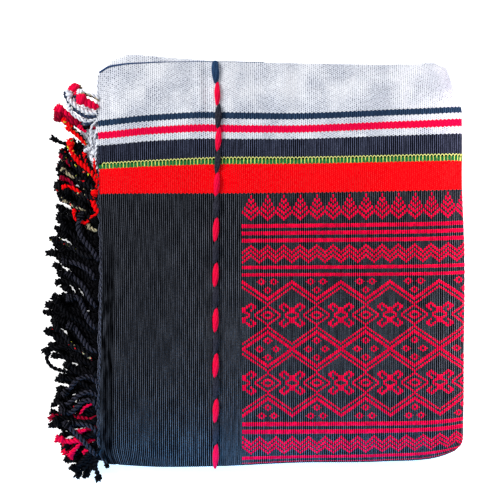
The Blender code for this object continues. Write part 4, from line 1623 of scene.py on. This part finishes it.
# Columns: colour, thickness, height of the end and reach of the tuft in mm, fibres of the tuft and how
# far they spread, and the places that the cord passes, in pixels of the photograph
# Cords of the black finish with painted highlights lie on top; those of the plain black finish lie in
# shade
LOOSE_CORDS = (
    ("crimson", 1.6, 34, 5, 24, 0.5, ((98, 108), (92, 105), (86, 102), (81, 99))),
    ("beige", 0.6, 33, 3, 8, 0.5, ((99, 101), (94, 97), (88, 95), (83, 94))),
    ("white", 0.9, 31, 4, 10, 0.5, ((99, 98), (92, 95), (86, 94), (80, 92))),
    ("white", 1.0, 30, 5, 20, 1.0, ((98, 113), (90, 113), (81, 109), (74, 104), (69, 99), (69, 93))),
    ("navy", 0.8, 29, 4, 12, 0.8, ((98, 116), (88, 117), (78, 112), (71, 106), (67, 99), (66, 94))),
    ("white", 0.75, 28, 5, 18, 0.8, ((96, 119), (88, 121), (80, 119), (73, 114), (69, 107))),
    ("navy", 0.8, 28, 4, 12, 0.8, ((80, 104), (76, 99), (75, 95))),
    ("white", 0.8, 26, 4, 14, 0.9, ((82, 104), (74, 99), (70, 96), (72, 91))),
    ("crimson", 1.7, 26, 5, 40, 1.2, ((82, 100), (78, 95), (75, 91), (73, 88))),
    ("beige", 0.8, 22, 4, 12, 0.9, ((84, 98), (81, 92), (79, 88))),
    ("navy", 1.1, 21, 5, 12, 0.6, ((94, 122), (84, 123), (74, 120), (68, 116))),
    ("black", 1.0, 19, 5, 12, 0.6, ((92, 126), (82, 127), (74, 123), (68, 119))),
    ("shaded_red", 1.8, 24, 6, 44, 1.2, ((80, 124), (72, 120), (64, 117), (58, 115))),
    ("crimson", 1.3, 26, 6, 30, 1.2, ((70, 116), (64, 112), (59, 109))),
    ("shaded_red", 0.9, 22, 4, 12, 0.8, ((96, 128), (90, 127), (84, 124))),
    ("crimson", 0.7, 29, 3, 8, 0.5, ((86, 132), (82, 129), (80, 127))),
    ("scarlet", 0.9, 27, 4, 10, 0.4, ((72, 127), (67, 123), (64, 120))),
    ("flecked", 0.9, 24, 5, 14, 0.8, ((86, 144), (80, 136), (74, 130), (69, 125))),
    ("scarlet", 0.8, 27, 4, 10, 0.5, ((86, 145), (80, 138), (73, 132), (68, 128))),
    ("scarlet", 1.05, 28, 5, 16, 0.8, ((98, 184), (93, 174), (85, 167), (77, 160), (71, 150), (70, 142))),
    ("scarlet", 0.7, 29, 3, 8, 0.5, ((99, 180), (95, 170), (95, 160))),
    ("scarlet", 0.6, 26, 3, 8, 0.5, ((88, 168), (85, 160), (84, 154))),
    ("white", 0.5, 31, 3, 6, 0.5, ((99, 119), (92, 126), (91, 140), (95, 156), (98, 170))),
    ("white", 0.5, 29, 3, 6, 0.5, ((99, 124), (95, 136), (90, 148), (86, 150))),
    ("white", 0.6, 29, 3, 6, 0.5, ((99, 136), (96, 150), (97, 168), (98, 182))),
    ("black", 0.8, 20, 6, 12, 0.4, ((76, 150), (68, 144), (60, 142), (54, 139))),
    ("flecked", 1.2, 20, 7, 26, 1.0, ((82, 160), (76, 152), (70, 146))),
    ("black", 1.1, 21, 6, 26, 1.0, ((92, 186), (80, 172), (70, 160), (64, 152))),
    ("black", 1.1, 23, 6, 26, 1.0, ((96, 178), (88, 164), (82, 152), (79, 146))),
    ("black", 1.1, 20, 6, 26, 1.0, ((90, 190), (76, 180), (66, 173), (60, 169))),
    ("black", 1.1, 20, 6, 26, 1.0, ((92, 204), (80, 196), (70, 186), (62, 181))),
    ("black", 1.2, 19, 7, 26, 1.0, ((90, 170), (82, 160), (76, 152), (72, 144))),
    ("flecked", 1.1, 21, 5, 26, 1.0, ((84, 166), (76, 160), (68, 156), (62, 153))),
    ("flecked", 1.0, 24, 5, 18, 0.9, ((92, 176), (82, 170), (72, 164), (64, 156))),
    ("flecked", 1.0, 22, 5, 18, 0.9, ((96, 190), (86, 184), (76, 177), (66, 170), (61, 164))),
    ("beige", 0.7, 26, 3, 8, 0.5, ((74, 178), (68, 174), (63, 170))),
    ("flecked", 1.1, 22, 5, 18, 0.9, ((97, 200), (86, 196), (74, 192), (64, 188), (57, 187))),
    ("scarlet", 0.8, 26, 3, 10, 0.6, ((82, 194), (76, 190), (70, 187), (64, 187))),
    ("beige", 0.6, 26, 3, 8, 0.5, ((96, 194), (92, 190), (86, 188))),
    ("flecked", 0.9, 26, 4, 12, 0.6, ((84, 212), (76, 207), (69, 203), (62, 199))),
    ("beige", 0.5, 28, 2, 5, 0.4, ((86, 211), (78, 208), (71, 205), (64, 201))),
    ("scarlet", 1.1, 30, 4, 12, 0.5, ((98, 213), (95, 207), (93, 200), (95, 192))),
    ("scarlet", 0.6, 29, 2, 6, 0.5, ((97, 214), (91, 217), (85, 223), (80, 221))),
    ("beige", 0.8, 28, 3, 8, 0.6, ((97, 231), (92, 229), (88, 226))),
    ("scarlet", 0.5, 31, 2, 5, 0.4, ((100, 176), (97, 184), (95, 193))),
    ("scarlet", 0.5, 31, 2, 5, 0.4, ((100, 186), (97, 192), (94, 200))),
    ("black", 0.5, 31, 2, 5, 0.4, ((100, 150), (97, 160), (97, 172))),
    ("shaded_red", 0.8, 24, 3, 10, 0.8, ((70, 166), (66, 160), (61, 156))),
    ("shaded_red", 0.7, 26, 3, 10, 0.8, ((74, 186), (68, 180), (62, 178))),
    ("scarlet", 0.6, 28, 2, 8, 0.6, ((76, 221), (74, 216), (74, 211))),
    ("highlit_black", 1.05, 31, 4, 14, 0.5, ((98, 261), (92, 250), (86, 243), (81, 236), (78, 227), (81, 215))),
    ("black", 0.9, 25, 6, 16, 0.6, ((90, 244), (80, 240), (72, 234), (64, 228))),
    ("flecked", 1.0, 23, 5, 16, 0.9, ((92, 258), (82, 254), (71, 247), (62, 242), (55, 240))),
    ("highlit_black", 1.0, 26, 5, 18, 0.9, ((95, 280), (90, 272), (83, 267), (74, 263), (65, 262))),
    ("black", 1.0, 20, 5, 18, 0.9, ((80, 262), (70, 259), (60, 256), (53, 253))),
    ("highlit_black", 1.0, 28, 5, 16, 0.8, ((96, 307), (91, 301), (86, 291), (81, 284), (74, 278), (69, 274))),
    ("highlit_black", 1.05, 30, 5, 16, 0.8, ((97, 330), (91, 324), (86, 315), (82, 305), (78, 298), (70, 298))),
    ("black", 0.9, 21, 5, 16, 0.8, ((82, 288), (72, 284), (62, 281), (58, 282))),
    ("black", 0.75, 16, 5, 14, 0.5, ((78, 322), (66, 313), (56, 309), (49, 306))),
    ("highlit_black", 1.05, 28, 5, 18, 0.9, ((97, 352), (90, 349), (84, 342), (79, 335), (75, 329), (70, 326))),
    ("flecked", 1.0, 24, 5, 18, 0.9, ((92, 360), (84, 353), (72, 346), (66, 338), (60, 331), (55, 328))),
    ("black", 1.0, 19, 5, 18, 0.9, ((84, 350), (70, 346), (58, 338), (50, 334), (47, 332))),
    ("black", 0.9, 18, 4, 14, 0.6, ((90, 374), (76, 373), (62, 371), (51, 367), (46, 360), (47, 352))),
    ("black", 1.0, 15, 5, 16, 0.8, ((88, 364), (76, 361), (64, 358), (54, 356))),
    ("black", 1.0, 16, 5, 16, 0.8, ((92, 374), (82, 370), (74, 367), (66, 366))),
    ("black", 1.0, 27, 5, 18, 0.9, ((96, 376), (88, 378), (80, 374), (72, 368), (68, 364))),
    ("highlit_black", 1.05, 26, 5, 16, 0.8, ((98, 384), (92, 378), (84, 377), (76, 381), (70, 388), (65, 393))),
    ("highlit_black", 1.0, 24, 4, 14, 0.7, ((97, 396), (90, 392), (82, 394), (74, 399), (68, 404), (62, 407))),
    ("highlit_black", 1.0, 28, 4, 14, 0.7, ((98, 410), (92, 401), (84, 401), (77, 407), (70, 413), (63, 412))),
    ("flecked", 0.8, 20, 4, 14, 0.7, ((80, 408), (68, 407), (58, 404), (53, 405))),
    ("black", 0.9, 18, 4, 14, 0.8, ((84, 416), (70, 416), (60, 415), (52, 413))),
    ("black", 0.9, 21, 4, 14, 0.7, ((86, 424), (74, 424), (64, 424), (56, 423))),
    ("black", 1.2, 14, 3, 8, 0.5, ((97, 330), (93, 318), (91, 305), (90, 292))),
    ("black", 1.2, 14, 3, 8, 0.5, ((97, 378), (92, 368), (90, 356), (89, 342))),
    ("black", 1.2, 14, 3, 8, 0.5, ((97, 402), (92, 394), (90, 382), (88, 370))),
    ("crimson", 0.6, 24, 3, 8, 0.6, ((92, 404), (84, 408), (80, 414), (78, 420))),
    ("highlit_black", 1.1, 31, 4, 12, 0.5, ((97, 456), (90, 449), (84, 442), (77, 435), (71, 429), (66, 424))),
    ("highlit_black", 0.95, 29, 4, 12, 0.5, ((98, 436), (93, 428), (86, 425), (78, 424), (72, 424))),
    ("crimson", 1.0, 23, 7, 30, 0.7, ((84, 442), (76, 441), (68, 442), (60, 440))),
    ("crimson", 0.8, 28, 4, 12, 0.7, ((86, 430), (82, 431), (79, 432))),
    ("crimson", 0.8, 23, 6, 20, 0.7, ((80, 444), (75, 449), (71, 454))),
    ("crimson", 0.7, 24, 4, 12, 0.7, ((92, 450), (88, 450), (85, 452))),
    ("black", 0.95, 16, 5, 14, 0.5, ((94, 448), (86, 456), (79, 464), (76, 470))),
    ("black", 0.95, 16, 5, 14, 0.5, ((99, 448), (95, 456), (91, 463), (91, 467))),
    ("black", 0.7, 20, 4, 10, 0.5, ((102, 454), (104, 460), (106, 466))),
)


def placed_cords(bundle, rows, chance):
    """The cords that are listed one by one, each on a smooth curve through its places."""
    for colour, thick, end_mm, tuft_mm, fibres, spread, places in rows:
        knots = np.array([photo_place(*place) for place in places])
        steps = np.concatenate([[0], np.cumsum(np.linalg.norm(np.diff(knots, axis=0), axis=1))])
        at = np.linspace(0, steps[-1], CORD_STEPS)
        x = curve_through(at, steps, knots[:, 0])
        y = curve_through(at, steps, knots[:, 1])
        share = at / steps[-1]
        from_edge = np.clip((UPPER_END_X + ORIGIN[0] - x[0]) / LEVEL_REACH, 0, 1)
        end_height = end_mm / 1000
        start_height = CORD_START_HEIGHT + (end_height - CORD_START_HEIGHT) * from_edge
        z = end_height + (start_height - end_height) * (1 + np.cos(math.pi * share)) / 2
        path = np.stack([x, y, z], axis=1)
        cord(bundle, path, CORD_ORDER.index(colour), chance, tuft_mm / 1000, thick, fibres, spread)


# %% The six pieces of fringe
FIRST_SEED = 20


def make_fringe(row, seed):
    """One layer's fringe: its twined edge, its cords, and on the face those that are listed one by one."""
    name, end, layer = row[:3]
    bundle = Bundle()
    chance = random.Random(seed)
    twined_edge(bundle, end, layer)
    random_cords(bundle, row, chance)
    if name == "fringe_upper_face":
        placed_cords(bundle, LOOSE_CORDS, chance)
        edge_threads(bundle, chance)
    piece = bundle.finish(name.replace("fringe", "cords"), list(CORD_FINISHES.values()), "fringe")
    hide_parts(name)
    return piece


fringe = [make_fringe(row, FIRST_SEED + number) for number, row in enumerate(CORD_LAYERS)]
print("The fringe has", sum(row[3] for row in CORD_LAYERS) + len(LOOSE_CORDS), "cords")
